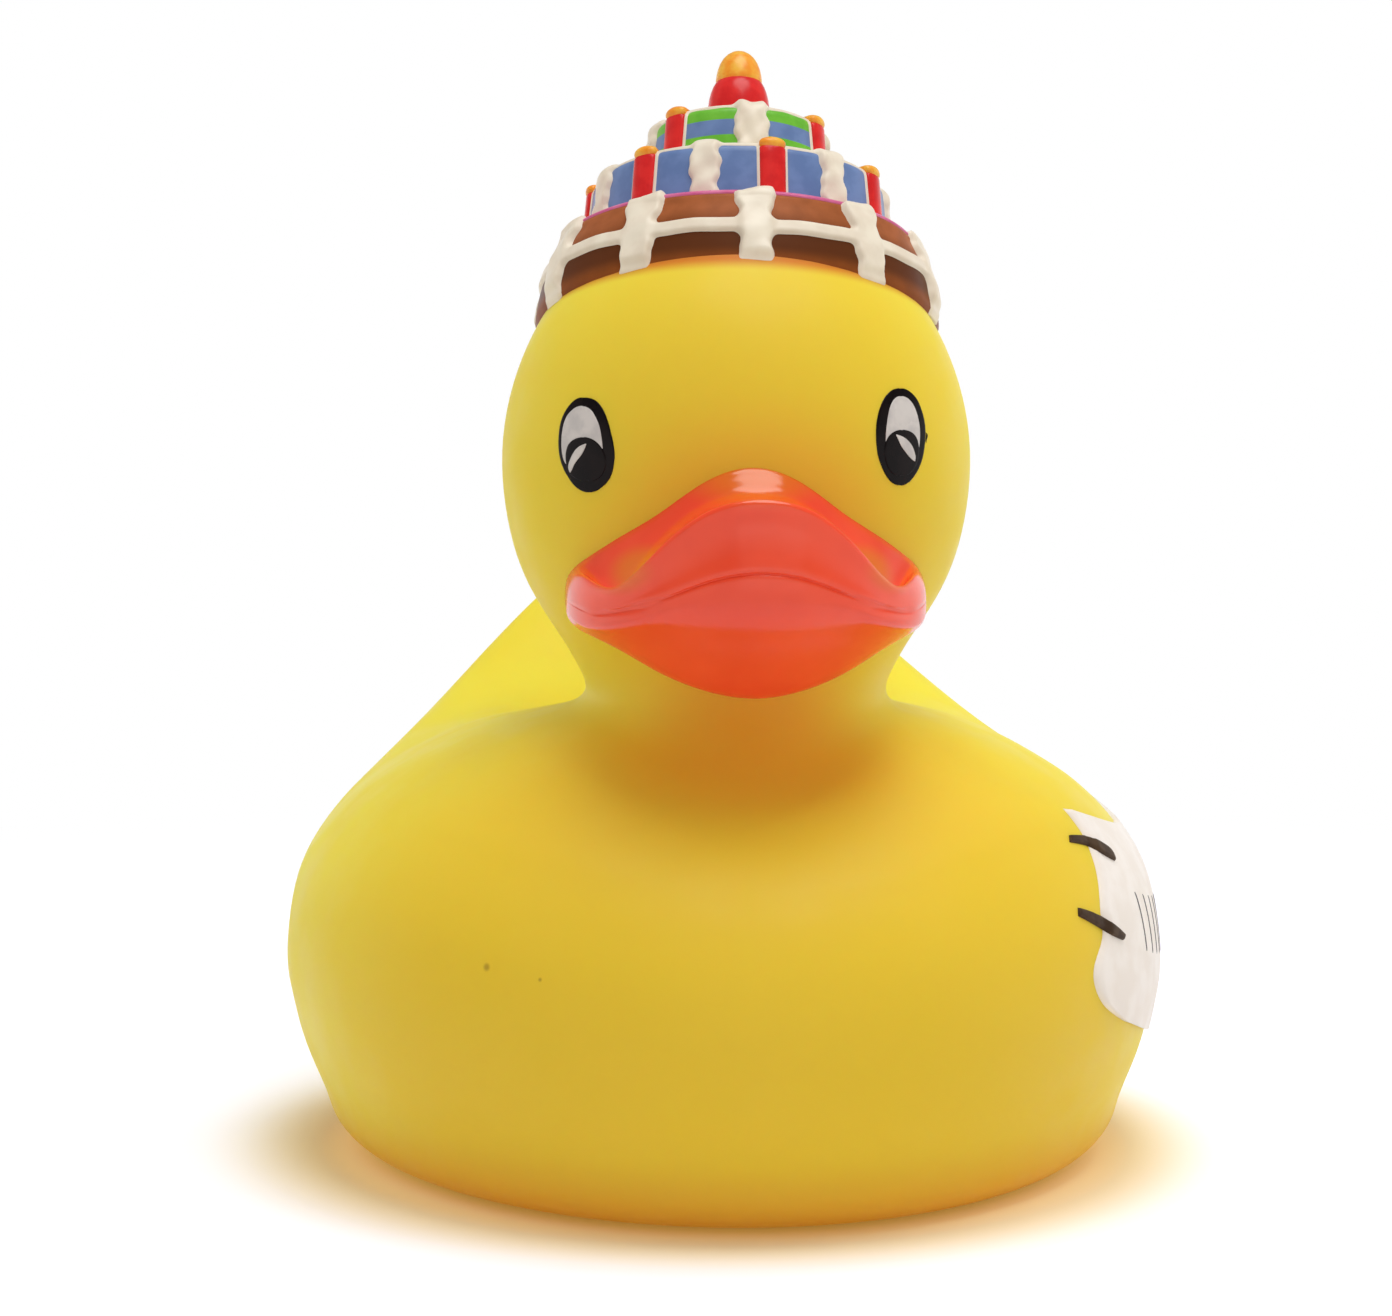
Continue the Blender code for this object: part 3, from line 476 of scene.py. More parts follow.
def tight_curves(rows, steps):
    """A smooth curve through each row of points, which stays tight where they lie close together."""
    rows = np.asarray(rows, float)
    first = 2 * rows[:, :1] - rows[:, 1:2]
    last = 2 * rows[:, -1:] - rows[:, -2:-1]
    rows = np.concatenate((first, rows, last), axis=1)
    curves = []
    for i in range(1, rows.shape[1] - 2):
        p = [rows[:, j] for j in range(i - 1, i + 3)]
        gaps = [np.sqrt(np.linalg.norm(b - a, axis=1, keepdims=True)) + 1e-6 for a, b in zip(p, p[1:])]
        t = [0 * gaps[0], gaps[0], gaps[0] + gaps[1], gaps[0] + gaps[1] + gaps[2]]
        for step in range(steps):
            now = t[1] + (t[2] - t[1]) * step / steps
            level = p
            for width in (1, 2):
                level = [
                    ((t[j + width] - now) * level[j] + (now - t[j]) * level[j + 1]) / (t[j + width] - t[j])
                    for j in range(len(level) - 1)
                ]
            curves.append(((t[2] - now) * level[0] + (now - t[1]) * level[1]) / (t[2] - t[1]))
    curves.append(rows[:, -2])
    return np.stack(curves, axis=1)


red_bill, tree, shader, place = finish_nodes("bill_orange", 0.16)
mottle = spread(tree, cloud(tree, place, 6), 0.3, 0.7, 0, 1)
sprayed = blend_colours(tree, mottle, *SPRAY)
# Painted reflection of the yellow head
for middle, size in HEAD_REFLECTION_PLACES:
    head_reflection = spread(tree, distance_in(tree, place, middle, size), 0.4, 1.0, 0.9, 0)
    sprayed = blend_colours(tree, head_reflection, sprayed, HEAD_REFLECTION_ORANGE)
tree.links.new(sprayed, shader.inputs["Base Color"])
roughen(tree, shader, cloud(tree, place, 0.5, 2.0), 0.003)
shader.inputs["Subsurface Weight"].default_value = 0.15
shader.inputs["Subsurface Radius"].default_value = (1.0, 0.3, 0.1)
shader.inputs["Subsurface Scale"].default_value = 0.002
shader.inputs["Specular IOR Level"].default_value = 0.5

turns = np.radians(np.linspace(-LAST_SLICE, LAST_SLICE, BILL_SLICES))
mirrored = np.array([row[:0:-1] + row for row in (ROOT, CREST, MOUTH, LIP, CHIN)]).T
edges = smooth_through(mirrored, np.degrees(turns) / EDGE_STEP + len(ROOT) - 1)
slices = [bill_slice(turn, heights) for turn, heights in zip(turns, edges)]
bill = loft("bill", tight_curves(slices, SPAN_STEPS), red_bill, 70)
bill.data.transform(
    Matrix.Translation([v * MM for v in (HEAD_MIDDLE[0], HEAD_MIDDLE[1], 0)])
    @ Matrix.Rotation(FACE_TURN, 4, "Z")
    @ Matrix.Translation([0, -HEAD_MIDDLE[1] * MM, 0])
)
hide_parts("duck_shell")

# The eyes are printed on the head in layers of paint, each with a little thickness: a black oval, the
# white, the pupil and a curved glint. They look inward and a touch down, and a smear of black lies beside
# the left one.


def on_head(across, down):
    """Where the line of sight through a place in the photograph meets the head, and the way out."""
    start = [(v / MM - m) / s for v, m, s in zip(eye_point, HEAD_MIDDLE, HEAD_SIZE)]
    way = [v / s for v, s in zip(sight_line(across, down), HEAD_SIZE)]
    start, way = Vector(start), Vector(way)
    middle = start.dot(way) / way.dot(way)
    depth = (start.dot(start) - 1) / way.dot(way)
    reach = -middle - math.sqrt(max(middle * middle - depth, 0.0))
    unit = start + reach * way
    point = Vector([m + u * s for m, u, s in zip(HEAD_MIDDLE, unit, HEAD_SIZE)])
    out = Vector([u / s for u, s in zip(unit, HEAD_SIZE)]).normalized()
    return point, out


def film(name, flat, put, lift, edge, finish, sink=0.03, under=0.2):
    """A thin layer with rounded edges, over a grid of flat places that `put` sets on the duck's surface."""
    rows, columns = flat.shape[:2]
    placed = [[put(*spot) for spot in row] for row in flat]
    points = np.array([[p for p, _ in row] for row in placed], float)
    outward = np.array([[n for _, n in row] for row in placed], float)
    across = np.zeros((rows, columns))
    across[:, 1:] = np.cumsum(np.linalg.norm(np.diff(points, axis=1), axis=2), axis=1)
    down = np.zeros((rows, columns))
    down[1:] = np.cumsum(np.linalg.norm(np.diff(points, axis=0), axis=2), axis=0)
    near = np.minimum(across, across[:, -1:] - across)
    near = np.minimum(near, np.minimum(down, down[-1:] - down))
    share = np.clip(near / edge, 0, 1)
    height = (lift + sink) * np.sqrt(1 - (1 - share) ** 2) - sink
    top = points + outward * height[:, :, None]
    bottom = points - outward * under
    count = rows * columns
    faces = []
    for r in range(rows - 1):
        for c in range(columns - 1):
            a = r * columns + c
            quad = (a, a + 1, a + columns + 1, a + columns)
            faces.append(quad)
            faces.append(tuple(count + v for v in quad[::-1]))
    rim = [c for c in range(columns)]
    rim += [r * columns + columns - 1 for r in range(1, rows)]
    rim += [(rows - 1) * columns + c for c in range(columns - 2, -1, -1)]
    rim += [r * columns for r in range(rows - 2, 0, -1)]
    for a, b in zip(rim, rim[1:] + rim[:1]):
        faces.append((b, a, count + a, count + b))
    return add_piece(name, np.concatenate((top, bottom)).reshape(-1, 3), faces, finish, 180)


def between(sides, corner, zoom, rows, columns, ends=0.03):
    """A grid of places between two edges, which run from the same top to the same foot. They were read
    on a crop of the photograph, enlarged this many times from this corner."""
    share = (1 - np.cos(np.linspace(0, math.pi, rows))) / 2
    share = ends + (1 - 2 * ends) * share
    sides = [smooth_through(side, share * (len(side) - 1)) / zoom + corner for side in sides]
    across = (1 - np.cos(np.linspace(0, math.pi, columns))) / 2
    return sides[0][:, None, :] + (sides[1] - sides[0])[:, None, :] * across[None, :, None]


def smooth_finish(name, base, second, roughness, patch=1.5, gloss=0.3, grain=0.3, depth=0.003):
    """A smooth paint or plastic: its tone wanders between two colours, in patches of this size, and its
    skin has a fine grain of this size and depth (mm)."""
    made, tree, shader, place = finish_nodes(name, roughness)
    tone = spread(tree, cloud(tree, place, patch), 0.35, 0.65, 0, 1)
    tree.links.new(blend_colours(tree, tone, colour(*base), colour(*second)), shader.inputs["Base Color"])
    roughen(tree, shader, cloud(tree, place, grain, 2.0), depth)
    shader.inputs["Specular IOR Level"].default_value = gloss
    return made


eye_black = smooth_finish("eye_black", (16, 10, 11), (24, 16, 16), 0.16, gloss=0.12)
eye_white = smooth_finish("eye_white", (214, 207, 203), (196, 190, 188), 0.3)

# The left and right edge of each layer
EYE_ZOOM = 8
EYES = {
    "right_eye": {
        "corner": (540, 370),
        "black": (
            [(350, 218), (295, 230), (240, 275), (190, 350), (160, 440), (148, 540), (150, 650), (175, 760),
             (220, 850), (270, 920), (330, 965), (392, 982)],
            [(350, 218), (430, 235), (490, 290), (535, 380), (565, 480), (590, 590), (600, 690), (585, 800),
             (545, 890), (480, 950), (440, 972), (392, 982)],
        ),
        "white": (
            [(350, 288), (305, 293), (262, 318), (222, 362), (193, 430), (177, 520), (175, 620), (186, 700),
             (212, 752), (262, 790)],
            [(350, 288), (410, 318), (450, 378), (480, 450), (497, 540), (506, 640), (480, 720), (420, 780),
             (340, 800), (262, 790)],
        ),
        "pupil": (
            [(352, 536), (285, 552), (235, 592), (212, 650), (208, 710), (218, 775), (250, 835), (320, 880),
             (385, 895)],
            [(352, 536), (405, 545), (460, 576), (505, 630), (530, 700), (530, 775), (500, 840), (450, 880),
             (385, 895)],
        ),
        "glint": (
            [(384, 586), (340, 600), (296, 632), (264, 680), (240, 738), (234, 785), (250, 828)],
            [(384, 586), (370, 625), (345, 675), (312, 718), (284, 758), (268, 795), (250, 828)],
        ),
    },
    "left_eye": {
        "corner": (800, 370),
        "black": (
            [(800, 145), (755, 152), (710, 180), (665, 240), (632, 320), (612, 410), (605, 500), (608, 590),
             (620, 680), (650, 770), (690, 850), (740, 905), (800, 926)],
            [(800, 145), (862, 162), (930, 225), (970, 310), (995, 400), (1005, 500), (1000, 590),
             (985, 690), (950, 790), (900, 870), (862, 905), (832, 920), (800, 926)],
        ),
        "white": (
            [(800, 208), (762, 222), (728, 265), (706, 330), (692, 410), (683, 490), (680, 560), (690, 640),
             (740, 700), (800, 720)],
            [(800, 208), (858, 228), (908, 288), (938, 368), (954, 450), (957, 540), (945, 640), (910, 690),
             (860, 715), (800, 720)],
        ),
        "pupil": (
            [(808, 478), (755, 490), (706, 525), (678, 580), (670, 650), (680, 730), (710, 800), (755, 838),
             (805, 850)],
            [(808, 478), (865, 488), (912, 520), (940, 575), (948, 650), (935, 730), (905, 795), (860, 835),
             (805, 850)],
        ),
        "glint": (
            [(752, 512), (776, 560), (798, 608), (828, 652), (858, 690), (884, 716), (910, 738)],
            [(752, 512), (808, 530), (852, 560), (886, 602), (906, 650), (916, 696), (910, 738)],
        ),
    },
}

# The layers from the skin up: how high each one's face lies, how wide its rounded edge is, and its paint
LAYERS = (
    ("black", 0.06, 0.12, eye_black),
    ("white", 0.09, 0.06, eye_white),
    ("pupil", 0.13, 0.08, eye_black),
    ("glint", 0.16, 0.06, eye_white),
)
for eye, layers in EYES.items():
    for layer, lift, edge, paint in LAYERS:
        grid = between(layers[layer], layers["corner"], EYE_ZOOM, 40, 24)
        drawn = film(f"{eye}_{layer}", grid, on_head, lift, edge, paint)

smear = (
    [(1004, 498), (1008, 520), (1004, 560), (1010, 590)],
    [(1004, 498), (1022, 522), (1014, 556), (1010, 590)],
)
grid = between(smear, EYES["left_eye"]["corner"], EYE_ZOOM, 12, 8)
spot = film("left_eye_smear", grid, on_head, 0.05, 0.08, eye_black)

# The cake hat is moulded with the head in the same vinyl, leans back on it and is painted by hand. Each
# tier is a plain drum in its own colour, and the icing runs down it in relief, so that the coloured blocks
# lie low between bands and drips.

HAT_BACK = math.radians(19.5)
HAT_LEFT = math.radians(2.6)
on_hat = (
    Matrix.Translation([v * MM for v in HEAD_MIDDLE])
    @ Matrix.Rotation(HAT_LEFT, 4, "Y")
    @ Matrix.Rotation(-HAT_BACK, 4, "X")
)

# Where the tiers start above the head's middle, with the top of the third, and how round their rims are
FEET = (12.46, 18.81, 24.06, 29.36)
CORNER = 0.9


def turned(name, profile, finish, steps=192, sharp=50):
    """A piece of the hat turned from an outline of (radius, height) that starts and ends on its axis."""
    turn = math.tau * np.arange(steps) / steps
    rings = [round_points(max(radius, 0.02), turn, height) for radius, height in profile]
    piece = loft(name, rings, finish, sharp)
    piece.data.transform(on_hat)
    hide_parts("duck_shell")
    return piece


def drum_path(radius, foot, top, draft, bulge, below, inward):
    """Points (radius, height) up a tier's wall, round its top corner and in over its top."""
    top_radius = radius - draft
    points = [(radius - 0.4 * below, foot - below), (radius, foot)]
    for share in (0.125, 0.25, 0.375, 0.5, 0.625, 0.75, 0.875, 1):
        swell = bulge * 4 * share * (1 - share)
        points.append((radius - draft * share + swell, foot + (top - CORNER - foot) * share))
    for degrees in (15, 30, 45, 60, 75, 90):
        angle = math.radians(degrees)
        points.append(
            (top_radius - CORNER * (1 - math.cos(angle)), top - CORNER * (1 - math.sin(angle)))
        )
    points.append((top_radius - CORNER - inward, top))
    return np.array(points)


def walk(path, step):
    """Points a step apart along a path, how far along each one is, and the way out of the wall there."""
    along = np.concatenate(([0], np.cumsum(np.linalg.norm(np.diff(path, axis=0), axis=1))))
    far = np.linspace(0, along[-1], int(along[-1] / step) + 1)
    points = np.stack([np.interp(far, along, path[:, i]) for i in (0, 1)], axis=1)
    heading = np.gradient(points, axis=0)
    kernel = np.ones(5) / 5
    padded = [np.pad(heading[:, i], 2, "edge") for i in (0, 1)]
    heading = np.stack([np.convolve(side, kernel, "valid") for side in padded], axis=1)
    heading /= np.linalg.norm(heading, axis=1, keepdims=True)
    return points, far, np.stack((heading[:, 1], -heading[:, 0]), axis=1)


def smooth_least(a, b, soft):
    """The smaller of two distances, rounded where they cross."""
    mix = np.clip(0.5 + 0.5 * (b - a) / soft, 0, 1)
    return b + (a - b) * mix - soft * mix * (1 - mix)


def iced(name, path, depth_of, finish, columns, step=0.14, thick=1.0):
    """Icing over a tier: a shell whose outside stands out from the wall by depth_of(turn, far, radius)."""
    points, far, way = walk(path, step)
    turn = math.tau * np.arange(columns) / columns
    turns, fars = np.meshgrid(turn, far)
    radii = np.repeat(points[:, :1], columns, axis=1)
    depth = depth_of(turns, fars, radii)
    radius = radii + depth * way[:, :1]
    height = np.repeat(points[:, 1:], columns, axis=1) + depth * way[:, 1:]
    inside = points - thick * way
    inner = [
        round_points(inside[k][0], turn, inside[k][1]) for k in (len(points) - 1, len(points) // 2, 0)
    ]
    rings = np.concatenate((round_points(radius, turns, height), np.array(inner)))
    faces = ring_faces(len(rings), columns, False)
    last = (len(rings) - 1) * columns
    for i in range(columns):
        j = (i + 1) % columns
        faces.append((last + i, last + j, j, i))
    piece = add_piece(name, rings.reshape(-1, 3), faces, finish, 180)
    piece.data.transform(on_hat)
    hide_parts("duck_shell")
    return piece


def apart(turns, middle):
    """How far round each turn lies from a middle, either way."""
    return (turns - middle + math.pi) % math.tau - math.pi


def drip_edge(turns, fars, radii, middle, width, wobble, seed):
    """How far outside a drip each place lies, where its edges wander a little."""
    side = apart(turns, middle)
    wander = np.sin(fars * 1.9 + seed) + 0.6 * np.sin(fars * 4.3 + 2.1 * seed + np.sign(side))
    return np.abs(side) * radii - width / 2 - wobble * wander


# The first tier: two rows of blocks sprayed in milk chocolate, a cream band between them and ten cream
# drips that run from the top to the head. Pink glaze covers the top and shows as a thin line round it.

TIER_1_RADIUS = 17.05
TIER_1_FOOT = 12.0
TIER_1_DRAFT = 1.65
TIER_1_BULGE = 0.3
TIER_1_HIDDEN = 0.6
FIRST_DRIPS = [math.radians(v) for v in (-1.5, 33.5, 68.5, 104.5, 141, 178, 215, 253, 290, 324)]
FIRST_DRIP_WIDTH = 2.8
FIRST_DRIP_LENGTH = 7.4
BAND_MIDDLE = 3.5
BAND_HEIGHT = 1.5
BAND_PROUD = 0.34
DRIP_PROUDER = 0.24

# The blocks' browns at three heights up the hat, painted light and shade: orange-brown low down as a
# painted reflection of the yellow head, darker in the middle as painted shade and lighter higher up as
# painted light; and the heights between which one turns into the next
LOW_REFLECTED_BROWN = colour(142, 76, 34)
MIDDLE_SHADED_BROWN = colour(94, 50, 26)
UPPER_LIT_BROWN = colour(172, 98, 58)
SPRAYED_BROWN = colour(100, 54, 26)
LOW_TO_MIDDLE = (12.2, 13.6)
MIDDLE_TO_UPPER = (14.8, 17.2)

# The edge of the brown spray on the head, with painted shade and painted orange reflected under the hat:
# between these heights it feathers out
FEATHER_AND_SHADE_HEIGHTS = (10.9, 12.3)
FEATHER_AND_SHADE_ORANGE = colour(216, 118, 36)


def hat_height(tree, place):
    """How high above the head's middle a place lies, along the hat's own axis."""
    from_head = on_vectors(tree, "SUBTRACT", place, [v * MM for v in HEAD_MIDDLE])
    return on_vectors(tree, "DOT_PRODUCT", from_head, on_hat.to_3x3() @ Vector((0, 0, 1)))


chocolate, tree, shader, place = finish_nodes("cake_brown", 0.34)
# Painted reflection, shade and light by height up the hat
height = hat_height(tree, place)
above = spread(tree, height, LOW_TO_MIDDLE[0] * MM, LOW_TO_MIDDLE[1] * MM, 0, 1)
blocks = blend_colours(tree, above, LOW_REFLECTED_BROWN, MIDDLE_SHADED_BROWN)
above = spread(tree, height, MIDDLE_TO_UPPER[0] * MM, MIDDLE_TO_UPPER[1] * MM, 0, 1)
blocks = blend_colours(tree, above, blocks, UPPER_LIT_BROWN)
tone = spread(tree, cloud(tree, place, 2.0), 0.3, 0.7, 0, 0.3)
tree.links.new(blend_colours(tree, tone, blocks, SPRAYED_BROWN), shader.inputs["Base Color"])
roughen(tree, shader, cloud(tree, place, 0.3, 2.0), 0.004)
shader.inputs["Specular IOR Level"].default_value = 0.05

# The brown spray feathers out on the head just under the blocks, with painted shade under the hat
tree = yellow_vinyl.node_tree
place = tree.nodes["Texture Coordinate"].outputs["Object"]
skin_input = tree.nodes["Principled BSDF"].inputs["Base Color"]
feathered_and_shaded = spread(tree, hat_height(tree, place), FEATHER_AND_SHADE_HEIGHTS[0] * MM, FEATHER_AND_SHADE_HEIGHTS[1] * MM, 0, 0.95)
feathered_and_shaded = blend_colours(tree, feathered_and_shaded, skin_input.links[0].from_socket, FEATHER_AND_SHADE_ORANGE)
tree.links.new(feathered_and_shaded, skin_input)

cream = smooth_finish("icing_cream", (240, 229, 210), (232, 218, 198), 0.36, 2.5)
pink_glaze = smooth_finish("icing_pink", (212, 96, 146), (222, 118, 162), 0.3, 2.0)


def tier_profile(path, root):
    """A tier's drum as an outline from its axis, over the path up its wall."""
    radius, foot = path[0]
    return [(0, foot - root), (radius - 2.5, foot - root), *path, (0, path[-1][1])]


path_1 = drum_path(TIER_1_RADIUS, TIER_1_FOOT, FEET[1], TIER_1_DRAFT, TIER_1_BULGE, TIER_1_HIDDEN, 1.6)
drum = turned("tier_1_blocks", tier_profile(path_1, 0.8), chocolate)

# The pink glaze follows the top corner, this far over it at these degrees above level
rim_1 = TIER_1_RADIUS - TIER_1_DRAFT - CORNER
edge_1 = FEET[1] - CORNER
glaze_line = []
for degrees, over in ((36, -0.1), (40, 0.08), (46, 0.14), (55, 0.16), (66, 0.16), (78, 0.16), (90, 0.16)):
    angle = math.radians(degrees)
    glaze_line.append(
        (rim_1 + (CORNER + over) * math.cos(angle), edge_1 + (CORNER + over) * math.sin(angle))
    )
glaze = turned(
    "tier_1_glaze", [(0, edge_1), (rim_1 - 0.5, edge_1), *glaze_line, (0, FEET[1] + 0.16)], pink_glaze
)


def lumps(turns, low, seed):
    """The slow rise and fall of icing that was laid on by hand."""
    first = np.sin(26 * turns + 1.1 * low + seed)
    second = np.sin(2.1 * low - 19 * turns + 2 * seed)
    return 0.06 * first + 0.05 * second


def first_icing(turns, fars, radii):
    """The depth of icing on the first tier: the band between the rows of blocks, and the drips."""
    low = fars - TIER_1_HIDDEN
    wave = 0.06 * np.sin(9 * turns + 1) + 0.04 * np.sin(23 * turns)
    band = np.abs(low - BAND_MIDDLE + wave) - BAND_HEIGHT / 2
    drips = np.full(turns.shape, 99.0)
    for i, middle in enumerate(FIRST_DRIPS):
        width = FIRST_DRIP_WIDTH + 0.55 * ease(low, 4.6, 6.2) + 0.25 * ease(1.4 - low, 0, 1.4)
        width = width + 0.15 * math.sin(2.3 * i)
        drips = np.minimum(drips, drip_edge(turns, fars, radii, middle, width, 0.08, 1.7 * i))
    drips = np.maximum(drips, low - FIRST_DRIP_LENGTH - 0.4 * np.sin(11 * turns))
    inside = smooth_least(drips, band, 0.6)
    raised = BAND_PROUD + (DRIP_PROUDER + lumps(turns, low, 0.4)) * ease(0.3 - drips, 0, 0.9)
    raised = raised * (0.4 + 0.6 * ease(low, 0.2, 1.2))
    return -0.2 + (0.2 + raised) * ease(0.16 - inside, 0, 0.5)


icing_1 = iced("tier_1_icing", path_1, first_icing, cream, 720)

# The second tier: blue blocks between seven cream drips and seven red candles. Its top is iced in cream,
# which comes over the edge as a thin line, and a narrow line of cream frames each candle.

TIER_2_RADIUS = 12.8
UPPER_DRAFT = 0.4
UPPER_HIDDEN = 0.5
SECOND_DRIPS = [math.radians(-19.3) + math.tau * i / 7 for i in range(7)]
SECOND_CANDLES = [middle + math.pi / 7 for middle in SECOND_DRIPS]
CANDLE_WIDTH = 2.2
FRAME_WIDTH = 0.3
FRAME_PROUD = 0.12

blue_block = smooth_finish("cake_blue", (112, 138, 188), (100, 126, 176), 0.32, 2.0)
path_2 = drum_path(TIER_2_RADIUS, FEET[1], FEET[2], UPPER_DRAFT, 0, UPPER_HIDDEN, 4.5)
drum = turned("tier_2_blocks", tier_profile(path_2, 0.3), blue_block)


def iced_drips(drips, candles, wall, width, relief):
    """The depth of icing on an upper tier: drips, frames round the candles and the whole top."""

    def depth_of(turns, fars, radii):
        low = fars - UPPER_HIDDEN
        near = np.full(turns.shape, 99.0)
        for i, middle in enumerate(drips):
            edge = drip_edge(turns, fars, radii, middle, width, 0.13, 2.9 * i + 0.7)
            near = np.minimum(near, edge)
        frames = np.full(turns.shape, 99.0)
        for middle in candles:
            aside = np.abs(apart(turns, middle)) * radii
            frames = np.minimum(frames, aside - CANDLE_WIDTH / 2 - FRAME_WIDTH)
        top = wall + 0.6 - low + 0.05 * np.sin(17 * turns)
        inside = smooth_least(smooth_least(near, top, 0.3), frames, 0.2)
        drip_rise = relief - FRAME_PROUD + lumps(turns, 1.3 * low, 1.9)
        raised = FRAME_PROUD + drip_rise * ease(0.25 - near, 0, 0.8)
        return -0.15 + (0.15 + raised) * ease(0.1 - inside, 0, 0.35)

    return depth_of


icing_2 = iced(
    "tier_2_icing",
    path_2,
    iced_drips(SECOND_DRIPS, SECOND_CANDLES, FEET[2] - CORNER - FEET[1], 2.6, 0.45),
    cream,
    560,
)

# The third tier: a green, a blue and a green stripe painted round the wall, with four cream drips and
# four candles. Its top is iced like the second tier's, and the big candle stands on it.

TIER_3_RADIUS = 7.7
THIRD_DRIPS = [math.radians(2.1) + math.tau * i / 4 for i in range(4)]
THIRD_CANDLES = [math.radians(v) for v in (-53, 58, 131, 233)]
STRIPE_ENDS = (26.55, 27.95)

green_block = smooth_finish("cake_green", (118, 196, 62), (104, 184, 52), 0.3, 2.0)
path_3 = drum_path(TIER_3_RADIUS, FEET[2], FEET[3], UPPER_DRAFT, 0, UPPER_HIDDEN, 4.0)
low, high = STRIPE_ENDS
wall_low, wall_high = (float(np.interp(h, path_3[:10, 1], path_3[:10, 0])) for h in STRIPE_ENDS)
drum = turned(
    "tier_3_low_stripe",
    [(0, FEET[2] - 0.8), *[p for p in path_3 if p[1] < low], (wall_low, low), (0, low)],
    green_block,
)
stripe = [(0, low), (wall_low, low), (wall_high, high), (0, high)]
drum = turned("tier_3_middle_stripe", stripe, blue_block)
drum = turned(
    "tier_3_top_stripe",
    [(0, high), (wall_high, high), *[p for p in path_3 if p[1] > high], (0, FEET[3])],
    green_block,
)
icing_3 = iced(
    "tier_3_icing",
    path_3,
    iced_drips(THIRD_DRIPS, THIRD_CANDLES, FEET[3] - CORNER - FEET[2], 2.9, 0.5),
    cream,
    360,
)

# The small candles are moulded as bars in relief up the walls and painted a glossy red. Each ends in an
# orange flame that stands a little over the edge of its tier.

candle_red = smooth_finish("candle_red", (228, 44, 42), (214, 34, 36), 0.24)
flame = smooth_finish("flame_orange", (246, 150, 40), (248, 186, 66), 0.28, 1.2, 0.35)


def upright_bar(name, turn, levels, finish, relief):
    """A bar up a tier's wall with a round front, through (height, radius, half width) levels."""
    around = np.radians(np.linspace(-100, 100, 25))
    rings = []
    for height, radius, half in levels:
        x = half * np.sin(around)
        out = radius + relief * np.cos(around)
        ring = [(a, -b, height) for a, b in zip(x, out)]
        ring += [(0.6 * half, -(radius - 1.0), height), (-0.6 * half, -(radius - 1.0), height)]
        rings.append(ring)
    bar = loft(name, rings, finish, 180)
    bar.data.transform(on_hat @ Matrix.Rotation(turn, 4, "Z"))
    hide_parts("duck_shell")
    return bar


def add_candle(name, turn, radius, foot, top):
    """One small candle and its flame."""
    half = CANDLE_WIDTH / 2
    slope = UPPER_DRAFT / (top - foot)
    levels = [(foot - 0.4, radius, 0.98 * half)]
    for height in np.linspace(foot, top - 0.6, 9):
        levels.append((height, radius - slope * (height - foot), half))
    levels.append((top - 0.45, radius - UPPER_DRAFT, 0.95 * half))
    levels.append((top - 0.3, radius - UPPER_DRAFT - 0.1, 0.75 * half))
    wax = upright_bar(f"{name}_wax", turn, levels, candle_red, 0.5)
    tip = []
    for degrees in np.linspace(-80, 84, 15):
        angle = math.radians(degrees)
        wide = 1.02 * half * math.cos(angle) ** 0.6
        lean = 0.5 * (1 - math.cos(angle))
        tip.append((top - 0.12 + 0.56 * math.sin(angle), radius - UPPER_DRAFT - lean, wide))
    glow = upright_bar(f"{name}_flame", turn, tip, flame, 0.6)


for i, turn in enumerate(SECOND_CANDLES):
    add_candle(f"candle_2_{i + 1}", turn, TIER_2_RADIUS, FEET[1], FEET[2])
for i, turn in enumerate(THIRD_CANDLES):
    add_candle(f"candle_3_{i + 1}", turn, TIER_3_RADIUS, FEET[2], FEET[3])

# The one big candle is moulded upright in the middle of the top tier and painted like the small ones.
# Its red wax ends in round shoulders under a domed flame.

# Outlines as (radius, height above the tier)
WAX = [
    (0, -1.0), (2.62, -1.0), (2.68, 0.0), (2.68, 1.2), (2.65, 2.2), (2.56, 3.0), (2.42, 3.6), (2.24, 4.1),
    (2.02, 4.5), (1.7, 4.7), (0, 4.75),
]
FLAME = [
    (0, 4.4), (1.9, 4.4), (1.98, 4.55), (1.99, 4.8), (1.93, 5.3), (1.82, 5.8), (1.64, 6.3), (1.38, 6.75),
    (1.06, 7.1), (0.7, 7.34), (0.35, 7.46), (0, 7.5),
]
wax = turned("top_candle_wax", [(r, FEET[3] + h) for r, h in WAX], candle_red, 96, 60)
tip = turned("top_candle_flame", [(r, FEET[3] + h) for r, h in FLAME], flame, 96, 60)

# A banner is moulded on the left flank, 0.4 mm proud, and painted white, with its ends stitched down by
# two dark painted dashes each and plain upright strokes printed along it. The end out of sight is the
# same, mirrored.

# The front end from top to foot: places in the photograph, and the last point out of sight (y, z)
BANNER_END = [
    (1062, 808), (1080, 831), (1092, 858), (1098, 885), (1100, 912), (1102, 936), (1096, 958), (1093, 977),
    (1097, 994), (1108, 1010), (1124, 1021),
]
BANNER_FOOT = (-21.5, 13.3)
BANNER_MIDDLE = -4.0
BANNER_SAG = 3.2
BANNER_PROUD = 0.4
FROM_THE_LEFT = 90

flank = BVHTree.FromPolygons(
    [Vector(p) for p in outside.reshape(-1, 3)], ring_faces(len(outside), SKIN_COLUMNS, False)
)


def on_left_flank(y, z):
    """The skin at a place on the left flank, seen from its side, and the way out."""
    point, out, _, _ = flank.ray_cast(Vector((FROM_THE_LEFT, y, z)), Vector((-1, 0, 0)))
    return point, out if out.x > 0 else -out


def in_sight(across, down):
    """Where a line of sight meets the body, and the way out."""
    point, out, _, _ = flank.ray_cast(eye_point / MM, sight_line(across, down))
    return point, out if out.dot(eye_point / MM - point) > 0 else -out


